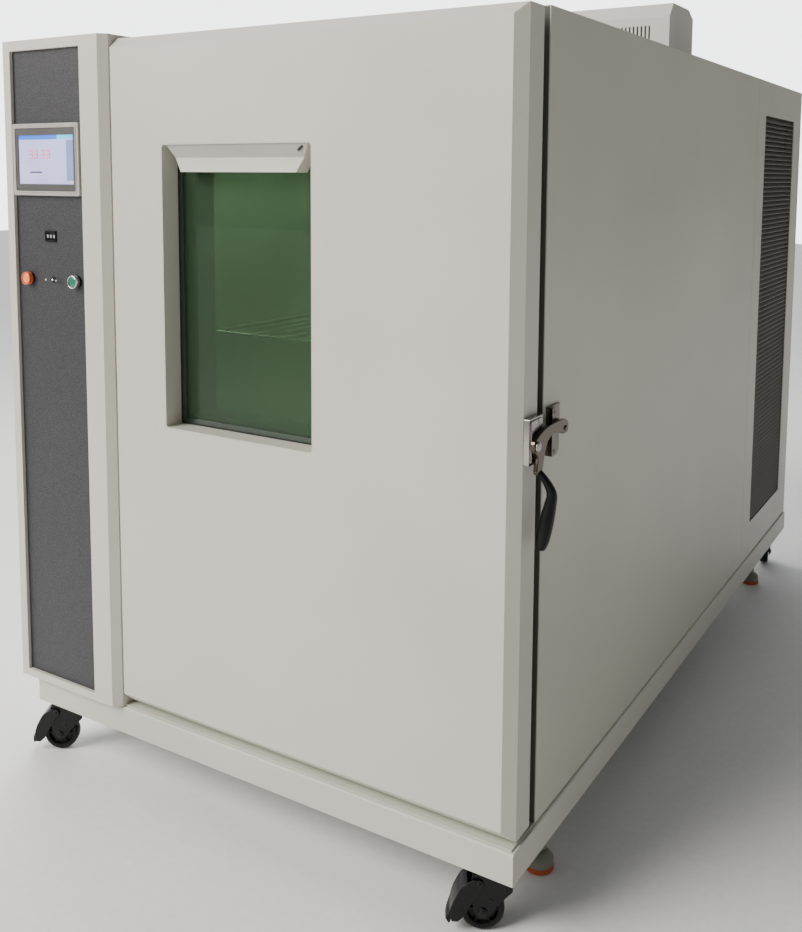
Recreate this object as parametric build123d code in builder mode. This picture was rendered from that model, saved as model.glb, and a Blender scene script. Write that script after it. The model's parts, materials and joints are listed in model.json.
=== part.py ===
from build123d import *
import math
import os

os.makedirs("parts", exist_ok=True)

# Environmental test chamber with a control column, a windowed door and a rear machine room.
# Millimetres, Z up, floor at zero, front towards -Y, origin under the middle of the whole.

# Stance and base
stance_height = 126
rail_height = 60
rail_width = 80
rail_wall = 3
rail_round = 5
deck_thickness = 3
deck_inset = 6
weld_gap = 0.2
base_inset_left = 35
base_lip = 4
base_setback = 18

# Control column
column_flat = 298
column_chamfer = 16
column_proud = 17
column_rise = 3
column_skin = 2
column_bend = 3
panel_margin_left = 24
panel_margin_right = 55
panel_margin_bottom = 17
panel_margin_top = 22
panel_recess = 8
panel_thickness = 3
panel_lap = 10

# Door
door_side_gap = 3
door_width = 935
door_foot_gap = 9
door_head_gap = 5
door_thickness = 74
door_bevel = 20
door_skin = 2
seal_gap = 26
plug_depth = 45
plug_gap = 12
gasket_width = 22
gasket_stand_off = 6

# Window in the door
window_width = 375
window_height = 580
window_from_left = 139
window_from_top = 218
window_corner = 8
window_recess = 48
window_lip = 12
trim_wall = 2
pane_thickness = 5

# Cabinet, walls and machine room
cabinet_height = 1444
chamber_length = 1489
machine_length = 606
skin = 2
panel_seam = 2
frame_depth = 30
wall_side = 94
wall_floor = 111
wall_roof = 153
wall_rear = 94
liner_wall = 2
plenum_depth = 242

# Reach of what stands out of the cabinet
latch_reach = 47
button_reach = 6.5
gland_reach = 26

# Places worked out from the sizes above
overall_width = column_flat + column_chamfer + door_side_gap + door_width + latch_reach
left_x = -overall_width / 2
column_right = left_x + column_flat + column_chamfer
door_left = column_right + door_side_gap
door_right = door_left + door_width
base_left = left_x + base_inset_left
base_right = door_right + base_lip
frame_offset = column_proud + door_thickness + seal_gap
overall_depth = button_reach + frame_offset + chamber_length + machine_length + gland_reach
front_y = -overall_depth / 2 + button_reach
door_front = front_y + column_proud
door_back = door_front + door_thickness
frame_front = door_back + seal_gap
machine_front = frame_front + chamber_length
rear_y = machine_front + machine_length
base_front = front_y + base_setback
base_bottom = stance_height
deck_bottom = base_bottom + rail_height
deck_top = deck_bottom + deck_thickness
roof_top = deck_top + cabinet_height
door_bottom = deck_top + door_foot_gap
door_top = roof_top - door_head_gap
column_top = roof_top + column_rise
cavity_left = column_right + wall_side
cavity_right = door_right - wall_side
cavity_floor = deck_top + wall_floor
cavity_ceiling = roof_top - wall_roof
cavity_rear = machine_front - wall_rear
cavity_middle = (cavity_left + cavity_right) / 2
baffle_y = cavity_rear - plenum_depth

# Door pivots
pivot_from_edge = 30
pivot_from_face = 12
pivot_pin = 12
pivot_fit = 0.05
pivot_bush = 18
pivot_bush_length = 26
pivot_eye = 8.5
pivot_arm_width = 10
pivot_arm_height = 34
pivot_pocket_height = 37
pivot_plate = 6
pivot_levels = (180, 715, 1250)
pivot_x = door_left + pivot_from_edge
pivot_y = door_front + pivot_from_face

# Window and door plug places
window_left = door_left + window_from_left
window_right = window_left + window_width
window_top = door_top - window_from_top
window_bottom = window_top - window_height
plug_back = frame_front + plug_depth
plug_left = cavity_left + plug_gap
plug_right = cavity_right - plug_gap
plug_bottom = cavity_floor + plug_gap
plug_top = cavity_ceiling - plug_gap

# Latch on the door's right edge
latch_height = 80
latch_middle = 907
latch_body_reach = 13
latch_pivot_from_back = 44
latch_pivot_drop = 6
lever_gap = 1
lever_thickness = 8
lever_pin = 12
roller_radius = 8
roller_width = 8.5
roller_orbit = 118
roller_angle = 4
cam_clearance = 0.5
keeper_reach = 13
keeper_plate = 4
keeper_height = 86
keeper_width = 51
keeper_gap = 11
grip_half_width = 15
grip_half_depth = 13
grip_start_drop = 44
grip_drop = 180
grip_lean = 19
latch_y = door_back - latch_pivot_from_back
latch_z = latch_middle - latch_pivot_drop
lever_inner = door_right + latch_body_reach + lever_gap
lever_outer = lever_inner + lever_thickness
roller_x = lever_inner - 0.3 - roller_width / 2
roller_y = latch_y + roller_orbit * math.cos(math.radians(roller_angle))
roller_z = latch_z + roller_orbit * math.sin(math.radians(roller_angle))

# Operator panel, setter and switches on the column
panel_face = front_y + panel_recess
operator_width = 210
operator_height = 155
operator_proud = 4
operator_top = 1457
operator_body_depth = 45
screen_width = 178
screen_height = 108
screen_depth = 4
screen_thickness = 4
setter_width = 34
setter_height = 24
setter_from_left = 134
setter_z = 1214
button_z = 1119
orange_from_left = 62
green_from_left = 211
lever_switch_from_left = 138
button_flange = 15
button_head = 11.5
button_head_gap = 0.3
button_neck = 11
switch_lever_length = 24
switch_lever_tilt = 68
switch_bore = 4
switch_nut = 8
panel_left = left_x + panel_margin_left
panel_right = left_x + column_flat - panel_margin_right
panel_bottom = deck_top + panel_margin_bottom
panel_top = column_top - panel_margin_top
panel_middle = (panel_left + panel_right) / 2
button_left_x = left_x + orange_from_left
button_right_x = left_x + green_from_left
switch_x = left_x + lever_switch_from_left
setter_x = left_x + setter_from_left

# Roof cover over the circulation motor
cover_width = 588
cover_depth = 216
cover_height = 189
cover_slope_run = 31
cover_slope_drop = 38
cover_rear_run = 44
cover_rear_drop = 21
cover_from_machine = 85
cover_skin = 2
slot_width = 4.4
slot_pitch = 11.1
slot_height = 80
slot_top = 128
slot_count = 12
slot_from_side = 56
cover_back = machine_front - cover_from_machine
cover_front = cover_back - cover_depth

# Circulation blower
shaft_diameter = 16
shaft_fit = 0.05
shaft_well = 46
wheel_diameter = 180
wheel_height = 70
wheel_blades = 16
wheel_drop = 60
motor_diameter = 150
motor_height = 120
motor_flange = 190
motor_plate = 8
shaft_engagement = 50
blower_y = (cover_front + cover_back) / 2

# Side grilles of the machine room
grille_from_seam = 93
grille_length = 403
grille_from_deck = 104
grille_height = 1240
grille_pitch = 14
grille_depth = 12
grille_frame = 12
slat_thickness = 1.2
grille_front = machine_front + grille_from_seam
grille_rear = grille_front + grille_length
grille_bottom = deck_top + grille_from_deck
grille_top = grille_bottom + grille_height

# Condenser and its fans
condenser_thickness = 70
condenser_gap = 16
condenser_fins = 30
fan_diameter = 340
fan_depth = 46
fan_blades = 5
fan_hub = 90
fan_shaft = 12
fan_spread = 560

# Shelves
shelf_levels = (300, 700)
shelf_wire = 5
shelf_wires = 15
shelf_side_gap = 4
shelf_front_gap = 60
shelf_rear_gap = 70
ledge_width = 14
ledge_height = 8

# Casters and levelling feet
caster_inset_side = 54
caster_inset_end = 52
caster_wheel = 40
caster_wheel_width = 28
caster_lift = 1
caster_trail = 27
caster_head = 35
caster_head_height = 14
caster_head_gap = 0.3
caster_cheek = 4
caster_cheek_gap = 2
caster_axle = 10
caster_axle_fit = 0.05
caster_stem = 20
caster_turns = {"front_right": 210, "front_left": 210, "rear_right": 100, "rear_left": 100}
braked_casters = ("front_right", "front_left")
foot_inset_side = 57
foot_from_end = 243
foot_disc = 29
foot_cap_height = 26
foot_pad_height = 10
foot_spindle = 16
foot_spindle_fit = 0.05
mount_plate = 6
mount_length = 110
rail_hollow = rail_width - 2 * rail_wall
plate_gap = 0.2
corners = {
    "front_left": (base_left, 1, base_front, 1),
    "front_right": (base_right, -1, base_front, 1),
    "rear_left": (base_left, 1, rear_y, -1),
    "rear_right": (base_right, -1, rear_y, -1),
}
caster_places = {
    name: (x + sx * caster_inset_side, y + sy * caster_inset_end)
    for name, (x, sx, y, sy) in corners.items()
}
foot_places = {
    name: (x + sx * foot_inset_side, y + sy * foot_from_end)
    for name, (x, sx, y, sy) in corners.items()
}


def block(x0, x1, y0, y1, z0, z1, mode=Mode.ADD):
    with Locations(((x0 + x1) / 2, (y0 + y1) / 2, (z0 + z1) / 2)):
        return Box(x1 - x0, y1 - y0, z1 - z0, mode=mode)


def rod(x, y, z, radius, length, axis="z", mode=Mode.ADD):
    turns = {"x": (0, 90, 0), "y": (90, 0, 0), "z": (0, 0, 0)}
    with Locations((x, y, z)):
        return Cylinder(radius, length, rotation=turns[axis], mode=mode)


def finish(piece, name):
    piece.part.label = name
    export_step(piece.part, f"parts/{name}.step")


# Base: folded channels open downwards, with rounded outer top edges
def channel(x0, x1, y0, y1, rounded):
    with BuildPart() as rail:
        block(x0, x1, y0, y1, base_bottom, deck_bottom)
        top = rail.faces().sort_by(Axis.Z)[-1]
        if rounded:
            fillet([top.edges().sort_by(axis)[end] for axis, end in rounded], rail_round)
        block(
            x0 + rail_wall,
            x1 - rail_wall,
            y0 + rail_wall,
            y1 - rail_wall,
            base_bottom - 1,
            deck_bottom - rail_wall,
            Mode.SUBTRACT,
        )
    return rail.part


side_y0 = base_front + rail_width + weld_gap
side_y1 = rear_y - rail_width - weld_gap
inner_x0 = base_left + rail_width + weld_gap
inner_x1 = base_right - rail_width - weld_gap
front_rail = channel(base_left, base_right, base_front, base_front + rail_width, [(Axis.Y, 0)])
rear_rail = channel(base_left, base_right, rear_y - rail_width, rear_y, [(Axis.Y, -1)])
left_rail = channel(base_left, base_left + rail_width, side_y0, side_y1, [(Axis.X, 0)])
right_rail = channel(base_right - rail_width, base_right, side_y0, side_y1, [(Axis.X, -1)])
cross_rail_places = (frame_front + chamber_length / 2, machine_front)
cross_rails = [
    channel(inner_x0, inner_x1, y - rail_width / 2, y + rail_width / 2, [])
    for y in cross_rail_places
]
with BuildPart() as base_frame:
    add([front_rail, rear_rail, left_rail, right_rail] + cross_rails)
finish(base_frame, "base_frame")

with BuildPart() as base_deck:
    block(
        base_left + deck_inset,
        base_right - deck_inset,
        base_front + deck_inset,
        rear_y - deck_inset,
        deck_bottom,
        deck_top,
    )
finish(base_deck, "base_deck")

# Plates let into the channels: one for each caster and one, with its nut, for each foot
with BuildPart() as mounting_plates:
    for name, (x, y) in caster_places.items():
        rail_y = base_front + rail_width / 2 if "front" in name else rear_y - rail_width / 2
        half = rail_hollow / 2 - plate_gap
        block(
            x - mount_length / 2 + (8 if "left" in name else -8),
            x + mount_length / 2 + (8 if "left" in name else -8),
            rail_y - half,
            rail_y + half,
            base_bottom,
            base_bottom + mount_plate,
        )
        rod(x, y, base_bottom + mount_plate, caster_stem / 2 + 6, 2 * mount_plate)
        rod(x, y, base_bottom, caster_stem / 2 + foot_spindle_fit, 80, mode=Mode.SUBTRACT)
    for name, (x, y) in foot_places.items():
        rail_x = base_left + rail_width / 2 if "left" in name else base_right - rail_width / 2
        half = rail_hollow / 2 - plate_gap
        block(
            rail_x - half,
            rail_x + half,
            y - mount_length / 2,
            y + mount_length / 2,
            base_bottom,
            base_bottom + mount_plate,
        )
        with BuildSketch(Plane((x, y, base_bottom + mount_plate))) as nut:
            RegularPolygon(foot_spindle, 6)
        extrude(amount=14)
        rod(x, y, base_bottom, foot_spindle / 2 + foot_spindle_fit, 80, mode=Mode.SUBTRACT)
finish(mounting_plates, "mounting_plates")

# Cabinet skins
panel_z1 = roof_top - skin
with BuildPart() as side_panels:
    side_y_end = machine_front - panel_seam / 2
    block(door_right - skin, door_right, frame_front, side_y_end, deck_top, panel_z1)
    block(base_left, base_left + skin, frame_front, side_y_end, deck_top, panel_z1)
finish(side_panels, "side_panels")

with BuildPart() as roof_panel:
    block(base_left, door_right, frame_front, rear_y, panel_z1, roof_top)
    rod(cavity_middle, blower_y, roof_top, shaft_well / 2, 20, mode=Mode.SUBTRACT)
finish(roof_panel, "roof_panel")

with BuildPart() as front_frame:
    block(column_right, door_right - skin, frame_front, frame_front + frame_depth, deck_top, panel_z1)
    block(
        cavity_left - liner_wall,
        cavity_right + liner_wall,
        frame_front - 1,
        frame_front + frame_depth + 1,
        cavity_floor - liner_wall,
        cavity_ceiling + liner_wall,
        Mode.SUBTRACT,
    )
finish(front_frame, "front_frame")

with BuildPart() as insulation:
    block(
        column_right,
        door_right - skin,
        frame_front + frame_depth,
        machine_front - panel_seam,
        deck_top,
        panel_z1,
    )
    block(
        cavity_left - liner_wall,
        cavity_right + liner_wall,
        frame_front,
        cavity_rear + liner_wall,
        cavity_floor - liner_wall,
        cavity_ceiling + liner_wall,
        Mode.SUBTRACT,
    )
    rod(cavity_middle, blower_y, roof_top - wall_roof / 2, shaft_well / 2, wall_roof + 40, mode=Mode.SUBTRACT)
finish(insulation, "insulation")

# Stainless liner, open to the front, with a pair of shelf ledges for each level
shelf_front = plug_back + shelf_front_gap
shelf_rear = baffle_y - shelf_rear_gap
with BuildPart() as chamber_liner:
    block(
        cavity_left - liner_wall,
        cavity_right + liner_wall,
        frame_front,
        cavity_rear + liner_wall,
        cavity_floor - liner_wall,
        cavity_ceiling + liner_wall,
    )
    block(
        cavity_left,
        cavity_right,
        frame_front - 1,
        cavity_rear,
        cavity_floor,
        cavity_ceiling,
        Mode.SUBTRACT,
    )
    for level in shelf_levels:
        z1 = cavity_floor + level
        for x0, x1 in (
            (cavity_left - liner_wall / 2, cavity_left + ledge_width),
            (cavity_right - ledge_width, cavity_right + liner_wall / 2),
        ):
            block(x0, x1, shelf_front, shelf_rear, z1 - ledge_height, z1)
    rod(cavity_middle, blower_y, cavity_ceiling, shaft_well / 2, 20, mode=Mode.SUBTRACT)
finish(chamber_liner, "chamber_liner")

with BuildPart() as shelves:
    x0 = cavity_left + shelf_side_gap
    x1 = cavity_right - shelf_side_gap
    for level in shelf_levels:
        z0 = cavity_floor + level
        z1 = z0 + shelf_wire
        for xa in (x0, x1 - 2 * shelf_wire):
            block(xa, xa + 2 * shelf_wire, shelf_front, shelf_rear, z0, z1 + shelf_wire)
        for ya in (shelf_front, (shelf_front + shelf_rear) / 2, shelf_rear - shelf_wire):
            block(x0, x1, ya, ya + shelf_wire, z0, z1)
        step = (x1 - x0) / (shelf_wires + 1)
        for i in range(1, shelf_wires + 1):
            xa = x0 + i * step - shelf_wire / 2
            block(xa, xa + shelf_wire, shelf_front, shelf_rear, z0, z1)
finish(shelves, "shelves")

# Air guide in front of the plenum: outlet slots above, return slots below
with BuildPart() as air_baffle:
    block(cavity_left, cavity_right, baffle_y, baffle_y + liner_wall, cavity_floor, cavity_ceiling)
    for z, count in ((cavity_ceiling - 90, 10), (cavity_floor + 100, 10)):
        with Locations((cavity_middle, baffle_y, z)):
            with GridLocations((cavity_right - cavity_left - 60) / count, 1, count, 1):
                Box(24, 20, 110, mode=Mode.SUBTRACT)
finish(air_baffle, "air_baffle")

# Finned evaporator standing on its end plates in the plenum
coil_x0 = cavity_left + 70
coil_x1 = cavity_right - 70
coil_y0 = baffle_y + 45
coil_y1 = coil_y0 + 130
coil_z0 = cavity_floor + 230
coil_z1 = coil_z0 + 380
coil_plate = 3
coil_fins = 28
with BuildPart() as evaporator:
    block(coil_x0, coil_x1, coil_y0, coil_y1, coil_z0, coil_z1)
    groove = (coil_x1 - coil_x0) / coil_fins
    for y in (coil_y0, coil_y1):
        with Locations(((coil_x0 + coil_x1) / 2, y, (coil_z0 + coil_z1) / 2)):
            with GridLocations(groove, 1, coil_fins, 1):
                Box(groove * 0.6, 40, coil_z1 - coil_z0 - 30, mode=Mode.SUBTRACT)
    for x in (coil_x0 - coil_plate, coil_x1):
        block(x, x + coil_plate, coil_y0 - 10, coil_y1 + 10, cavity_floor, coil_z1 + 10)
finish(evaporator, "evaporator")

# Tubular air heater standing on the evaporator's end plates
with BuildPart() as air_heater:
    heater_z0 = coil_z1 + 10
    for x in (coil_x0 - coil_plate, coil_x1):
        block(x, x + coil_plate, coil_y0, coil_y1, heater_z0, heater_z0 + 130)
    for z in (heater_z0 + 30, heater_z0 + 65, heater_z0 + 100):
        for y in (coil_y0 + 35, coil_y1 - 35):
            rod((coil_x0 + coil_x1) / 2, y, z, 6, coil_x1 - coil_x0 + 2, "x")
finish(air_heater, "air_heater")

# Circulation motor on the roof, bored for the shaft
with BuildPart() as blower_motor:
    rod(cavity_middle, blower_y, roof_top + motor_plate / 2, motor_flange / 2, motor_plate)
    rod(cavity_middle, blower_y, roof_top + motor_plate + motor_height / 2, motor_diameter / 2, motor_height)
    chamfer(blower_motor.edges().filter_by(GeomType.CIRCLE).group_by(Axis.Z)[-1], 12)
    with Locations((cavity_middle, blower_y, roof_top + motor_plate + motor_height / 2)):
        with PolarLocations(motor_diameter / 2 + 1, 12):
            Box(10, 4, motor_height - 30)
    well_depth = shaft_engagement + 4
    rod(
        cavity_middle,
        blower_y,
        roof_top + well_depth / 2,
        shaft_diameter / 2 + shaft_fit,
        well_depth,
        mode=Mode.SUBTRACT,
    )
finish(blower_motor, "blower_motor")

# Centrifugal wheel and its shaft
wheel_top = cavity_ceiling - wheel_drop
with BuildPart() as blower_wheel:
    shaft_top = roof_top + shaft_engagement
    shaft_bottom = wheel_top - wheel_height
    rod(cavity_middle, blower_y, (shaft_top + shaft_bottom) / 2, shaft_diameter / 2, shaft_top - shaft_bottom)
    rod(cavity_middle, blower_y, wheel_top - 2, wheel_diameter / 2, 4)
    rod(cavity_middle, blower_y, wheel_top - 15, 24, 30)
    with BuildSketch(Plane((cavity_middle, blower_y, wheel_top - wheel_height))) as inlet_ring:
        Circle(wheel_diameter / 2)
        Circle(wheel_diameter / 2 - 26, mode=Mode.SUBTRACT)
    extrude(amount=3)
    with BuildSketch(Plane((cavity_middle, blower_y, wheel_top - wheel_height + 2))) as blades:
        with PolarLocations(wheel_diameter / 2 - 13, wheel_blades):
            Rectangle(24, 3, rotation=35)
    extrude(amount=wheel_height - 5)
finish(blower_wheel, "blower_wheel")

# Slotted sheet cover over the motor, sloped at its front and rear top edges
with BuildPart() as motor_cover:
    cover_x0 = cavity_middle - cover_width / 2
    cover_x1 = cavity_middle + cover_width / 2

    def cover_profile(inset):
        return [
            (cover_front + inset, roof_top),
            (cover_front + inset, roof_top + cover_height - cover_slope_drop - inset * 0.6),
            (cover_front + cover_slope_run + inset * 0.6, roof_top + cover_height - inset),
            (cover_back - cover_rear_run - inset * 0.3, roof_top + cover_height - inset),
            (cover_back - inset, roof_top + cover_height - cover_rear_drop - inset * 0.8),
            (cover_back - inset, roof_top),
        ]

    for inset, mode in ((0, Mode.ADD), (cover_skin, Mode.SUBTRACT)):
        with BuildSketch(Plane.YZ.offset(cover_x0 + inset)) as section:
            with BuildLine():
                Polyline(*cover_profile(inset), close=True)
            make_face()
        extrude(amount=cover_width - 2 * inset, mode=mode)
    bank = (slot_count - 1) * slot_pitch
    for middle in (cover_x1 - slot_from_side - bank / 2, cover_x0 + slot_from_side + bank / 2):
        with Locations((middle, cover_front, roof_top + slot_top - slot_height / 2)):
            with GridLocations(slot_pitch, 1, slot_count, 1):
                Box(slot_width, 10, slot_height, mode=Mode.SUBTRACT)
finish(motor_cover, "motor_cover")

# Column: folded front with a chamfered right edge and a recess for the panel
with BuildPart() as column_fascia:

    def column_outline(inset, back):
        return [
            (left_x + inset, back),
            (left_x + inset, front_y + inset),
            (left_x + column_flat - inset * 0.4, front_y + inset),
            (column_right - inset, front_y + column_chamfer + inset * 0.4),
            (column_right - inset, back),
        ]

    with BuildSketch(Plane.XY.offset(deck_top)) as outer:
        with BuildLine():
            Polyline(*column_outline(0, frame_front), close=True)
        make_face()
    extrude(amount=column_top - deck_top)
    front_left = column_fascia.edges().filter_by(Axis.Z).sort_by(lambda e: e.center().X + e.center().Y)[0]
    fillet(front_left, column_bend)
    with BuildSketch(Plane.XY.offset(deck_top + column_skin)) as inner:
        with BuildLine():
            Polyline(*column_outline(column_skin, frame_front + 1), close=True)
        make_face()
    extrude(amount=column_top - deck_top - 2 * column_skin, mode=Mode.SUBTRACT)
    block(
        panel_left - column_skin,
        panel_right + column_skin,
        front_y,
        panel_face,
        panel_bottom - column_skin,
        panel_top + column_skin,
    )
    block(panel_left, panel_right, front_y - 1, panel_face + 1, panel_bottom, panel_top, Mode.SUBTRACT)
finish(column_fascia, "column_fascia")

operator_left = panel_middle - operator_width / 2
operator_right = operator_left + operator_width
operator_bottom = operator_top - operator_height
with BuildPart() as column_panel:
    block(
        panel_left - panel_lap,
        panel_right + panel_lap,
        panel_face,
        panel_face + panel_thickness,
        panel_bottom - panel_lap,
        panel_top + panel_lap,
    )
    for x0, x1, z0, z1 in (
        (operator_left + 6, operator_right - 6, operator_bottom + 6, operator_top - 6),
        (
            setter_x - setter_width / 2 + 1,
            setter_x + setter_width / 2 - 1,
            setter_z - setter_height / 2 + 1,
            setter_z + setter_height / 2 - 1,
        ),
    ):
        block(x0, x1, panel_face - 1, panel_face + panel_thickness + 1, z0, z1, Mode.SUBTRACT)
    for x in (button_left_x, button_right_x):
        rod(x, panel_face, button_z, button_neck, 20, "y", Mode.SUBTRACT)
    rod(switch_x, panel_face, button_z, switch_nut - 2, 20, "y", Mode.SUBTRACT)
finish(column_panel, "column_panel")

screen_face = front_y - operator_proud + screen_depth
with BuildPart() as operator_bezel:
    block(operator_left, operator_right, front_y - operator_proud, panel_face, operator_bottom, operator_top)
    chamfer(operator_bezel.faces().sort_by(Axis.Y)[0].edges(), 3)
    block(
        operator_left + 6,
        operator_right - 6,
        panel_face,
        panel_face + operator_body_depth,
        operator_bottom + 6,
        operator_top - 6,
    )
    block(
        panel_middle - screen_width / 2,
        panel_middle + screen_width / 2,
        front_y - operator_proud - 1,
        screen_face + screen_thickness,
        operator_bottom + (operator_height - screen_height) / 2,
        operator_top - (operator_height - screen_height) / 2,
        Mode.SUBTRACT,
    )
finish(operator_bezel, "operator_bezel")

with BuildPart() as operator_screen:
    block(
        panel_middle - screen_width / 2,
        panel_middle + screen_width / 2,
        screen_face,
        screen_face + screen_thickness,
        operator_bottom + (operator_height - screen_height) / 2,
        operator_top - (operator_height - screen_height) / 2,
    )
finish(operator_screen, "operator_screen")

# Over-temperature setter with three digit windows
with BuildPart() as limit_setter:
    block(
        setter_x - setter_width / 2,
        setter_x + setter_width / 2,
        panel_face - 3,
        panel_face,
        setter_z - setter_height / 2,
        setter_z + setter_height / 2,
    )
    block(
        setter_x - setter_width / 2 + 1,
        setter_x + setter_width / 2 - 1,
        panel_face,
        panel_face + 34,
        setter_z - setter_height / 2 + 1,
        setter_z + setter_height / 2 - 1,
    )
    with Locations((setter_x, panel_face - 3, setter_z)):
        with GridLocations(10, 1, 3, 1):
            Box(7, 3, 14, mode=Mode.SUBTRACT)
finish(limit_setter, "limit_setter")

# Fixed bodies of the two push buttons and of the lever switch
button_face = front_y - button_reach
with BuildPart() as switch_bodies:
    for x in (button_left_x, button_right_x):
        flange_depth = panel_face - button_face
        rod(x, (button_face + panel_face) / 2, button_z, button_flange, flange_depth, "y")
        rod(x, panel_face + 18, button_z, button_neck - 0.2, 36, "y")
        block(x - 15, x + 15, panel_face + 30, panel_face + 56, button_z - 20, button_z + 20)
        rod(x, button_face + 5, button_z, button_head + button_head_gap, 10.6, "y", Mode.SUBTRACT)
        rod(x, panel_face + 8, button_z, button_neck - 4, 40, "y", Mode.SUBTRACT)
    with BuildSketch(Plane.XZ.offset(-panel_face)) as switch_hexagon:
        with Locations((switch_x, button_z)):
            RegularPolygon(switch_nut, 6)
    extrude(amount=2)
    rod(switch_x, panel_face + 11, button_z, switch_nut - 2.2, 22, "y")
    rod(switch_x, panel_face, button_z, switch_bore, 8, "y", Mode.SUBTRACT)
finish(switch_bodies, "switch_bodies")


# Push button cap: a head in the collar and a stem down the neck
def push_button(x, name):
    with BuildPart() as button:
        head_back = button_face + 0.8 + 4.6
        rod(x, button_face + 0.8 + 2.3, button_z, button_head, 4.6, "y")
        chamfer(button.edges().filter_by(GeomType.CIRCLE).group_by(Axis.Y)[0], 1.2)
        rod(x, head_back + 11, button_z, button_neck - 5, 24, "y")
    finish(button, name)


push_button(button_left_x, "power_button")
push_button(button_right_x, "start_button")

# Lever switch: one turned piece, its ball in the bushing, laid over to the right
with BuildPart() as lamp_switch:
    ball = Vector(switch_x, panel_face - 2.5, button_z)
    tilt = math.radians(switch_lever_tilt)
    along = Vector(math.sin(tilt), -math.cos(tilt), 0)
    with BuildSketch(Plane(origin=ball, x_dir=along, z_dir=(0, 0, 1))) as lever_half:
        with BuildLine():
            Polyline(
                (-3.4, 0),
                (-2.8, 2),
                (-1.2, 3.3),
                (1.2, 3.3),
                (2.6, 2.2),
                (3.6, 1.6),
                (switch_lever_length - 2, 2.4),
                (switch_lever_length - 1, 1.4),
                (switch_lever_length - 1, 0),
                close=True,
            )
        make_face()
    revolve(axis=Axis(ball, along))
finish(lamp_switch, "lamp_switch")

# Control gear on the chamber's flank behind the column
with BuildPart() as control_gear:
    gear_y0 = frame_front + 80
    gear_z0 = deck_top + 250
    block(column_right - 3, column_right, gear_y0, gear_y0 + 700, gear_z0, gear_z0 + 900)
    for row in range(3):
        with Locations((column_right - 3 - 35, gear_y0 + 350, gear_z0 + 150 + row * 290)):
            with GridLocations(1, 62, 1, 10):
                Box(70, 46, 84)
finish(control_gear, "control_gear")

# Machine room sides, each with a window for its grille
with BuildPart() as machine_side_panels:
    for x0 in (door_right - skin, base_left):
        block(x0, x0 + skin, machine_front + panel_seam / 2, rear_y - skin, deck_top, panel_z1)
        block(x0 - 1, x0 + skin + 1, grille_front, grille_rear, grille_bottom, grille_top, Mode.SUBTRACT)
    groove_z = (grille_top + roof_top) / 2
    block(door_right - 0.8, door_right + 1, grille_front, rear_y + 1, groove_z, groove_z + 2, Mode.SUBTRACT)
finish(machine_side_panels, "machine_side_panels")


# Louvre: a ring behind the panel's edge and sloping slats between its uprights
def louvre(x_skin, side):
    slat_count = int((grille_height - 6) / grille_pitch)
    x_in = x_skin - side * grille_depth
    with BuildPart() as grille:
        block(
            min(x_skin, x_in),
            max(x_skin, x_in),
            grille_front - grille_frame,
            grille_rear + grille_frame,
            grille_bottom - grille_frame,
            grille_top + grille_frame,
        )
        block(
            min(x_skin, x_in) - 1,
            max(x_skin, x_in) + 1,
            grille_front,
            grille_rear,
            grille_bottom,
            grille_top,
            Mode.SUBTRACT,
        )
        with BuildSketch(Plane.XZ.offset(-(grille_rear + 1))) as slats:
            with Locations(((x_skin + x_in) / 2, (grille_bottom + grille_top) / 2)):
                with GridLocations(1, grille_pitch, 1, slat_count):
                    Polygon(
                        (-side * grille_depth / 2, grille_depth / 2),
                        (side * grille_depth / 2, -grille_depth / 2),
                        (side * grille_depth / 2, -grille_depth / 2 + slat_thickness * 1.4),
                        (-side * grille_depth / 2, grille_depth / 2 + slat_thickness * 1.4),
                        align=None,
                    )
        extrude(amount=grille_length + 2)
    return grille.part


right_louvre = louvre(door_right - skin, 1)
left_louvre = louvre(base_left + skin, -1)
with BuildPart() as side_grilles:
    add([right_louvre, left_louvre])
finish(side_grilles, "side_grilles")

# Rear panel with two fields of vent slots
with BuildPart() as rear_panel:
    block(base_left, door_right, rear_y - skin, rear_y, deck_top, panel_z1)
    for x in ((base_left + door_right) / 2 - 260, (base_left + door_right) / 2 + 260):
        for i in range(14):
            with Locations((x, rear_y, deck_top + 400 + i * 24)):
                Box(300, 10, 7, mode=Mode.SUBTRACT)
finish(rear_panel, "rear_panel")

with BuildPart() as cable_gland:
    gland_x = base_left + 140
    gland_z = deck_top + 90
    rod(gland_x, rear_y + 3, gland_z, 26, 6, "y")
    rod(gland_x, rear_y + gland_reach / 2, gland_z, 18, gland_reach, "y")
    rod(gland_x, rear_y + gland_reach / 2, gland_z, 10, gland_reach + 2, "y", Mode.SUBTRACT)
finish(cable_gland, "cable_gland")

# Two hermetic compressors on the deck
with BuildPart() as compressors:
    for y in (machine_front + 170, machine_front + 430):
        x = cavity_middle - 120
        block(x - 110, x + 110, y - 110, y + 110, deck_top, deck_top + 12)
        rod(x, y, deck_top + 12 + 160, 95, 320)
    chamfer(compressors.edges().filter_by(GeomType.CIRCLE).group_by(Axis.Z)[-1], 38)
finish(compressors, "compressors")

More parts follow.
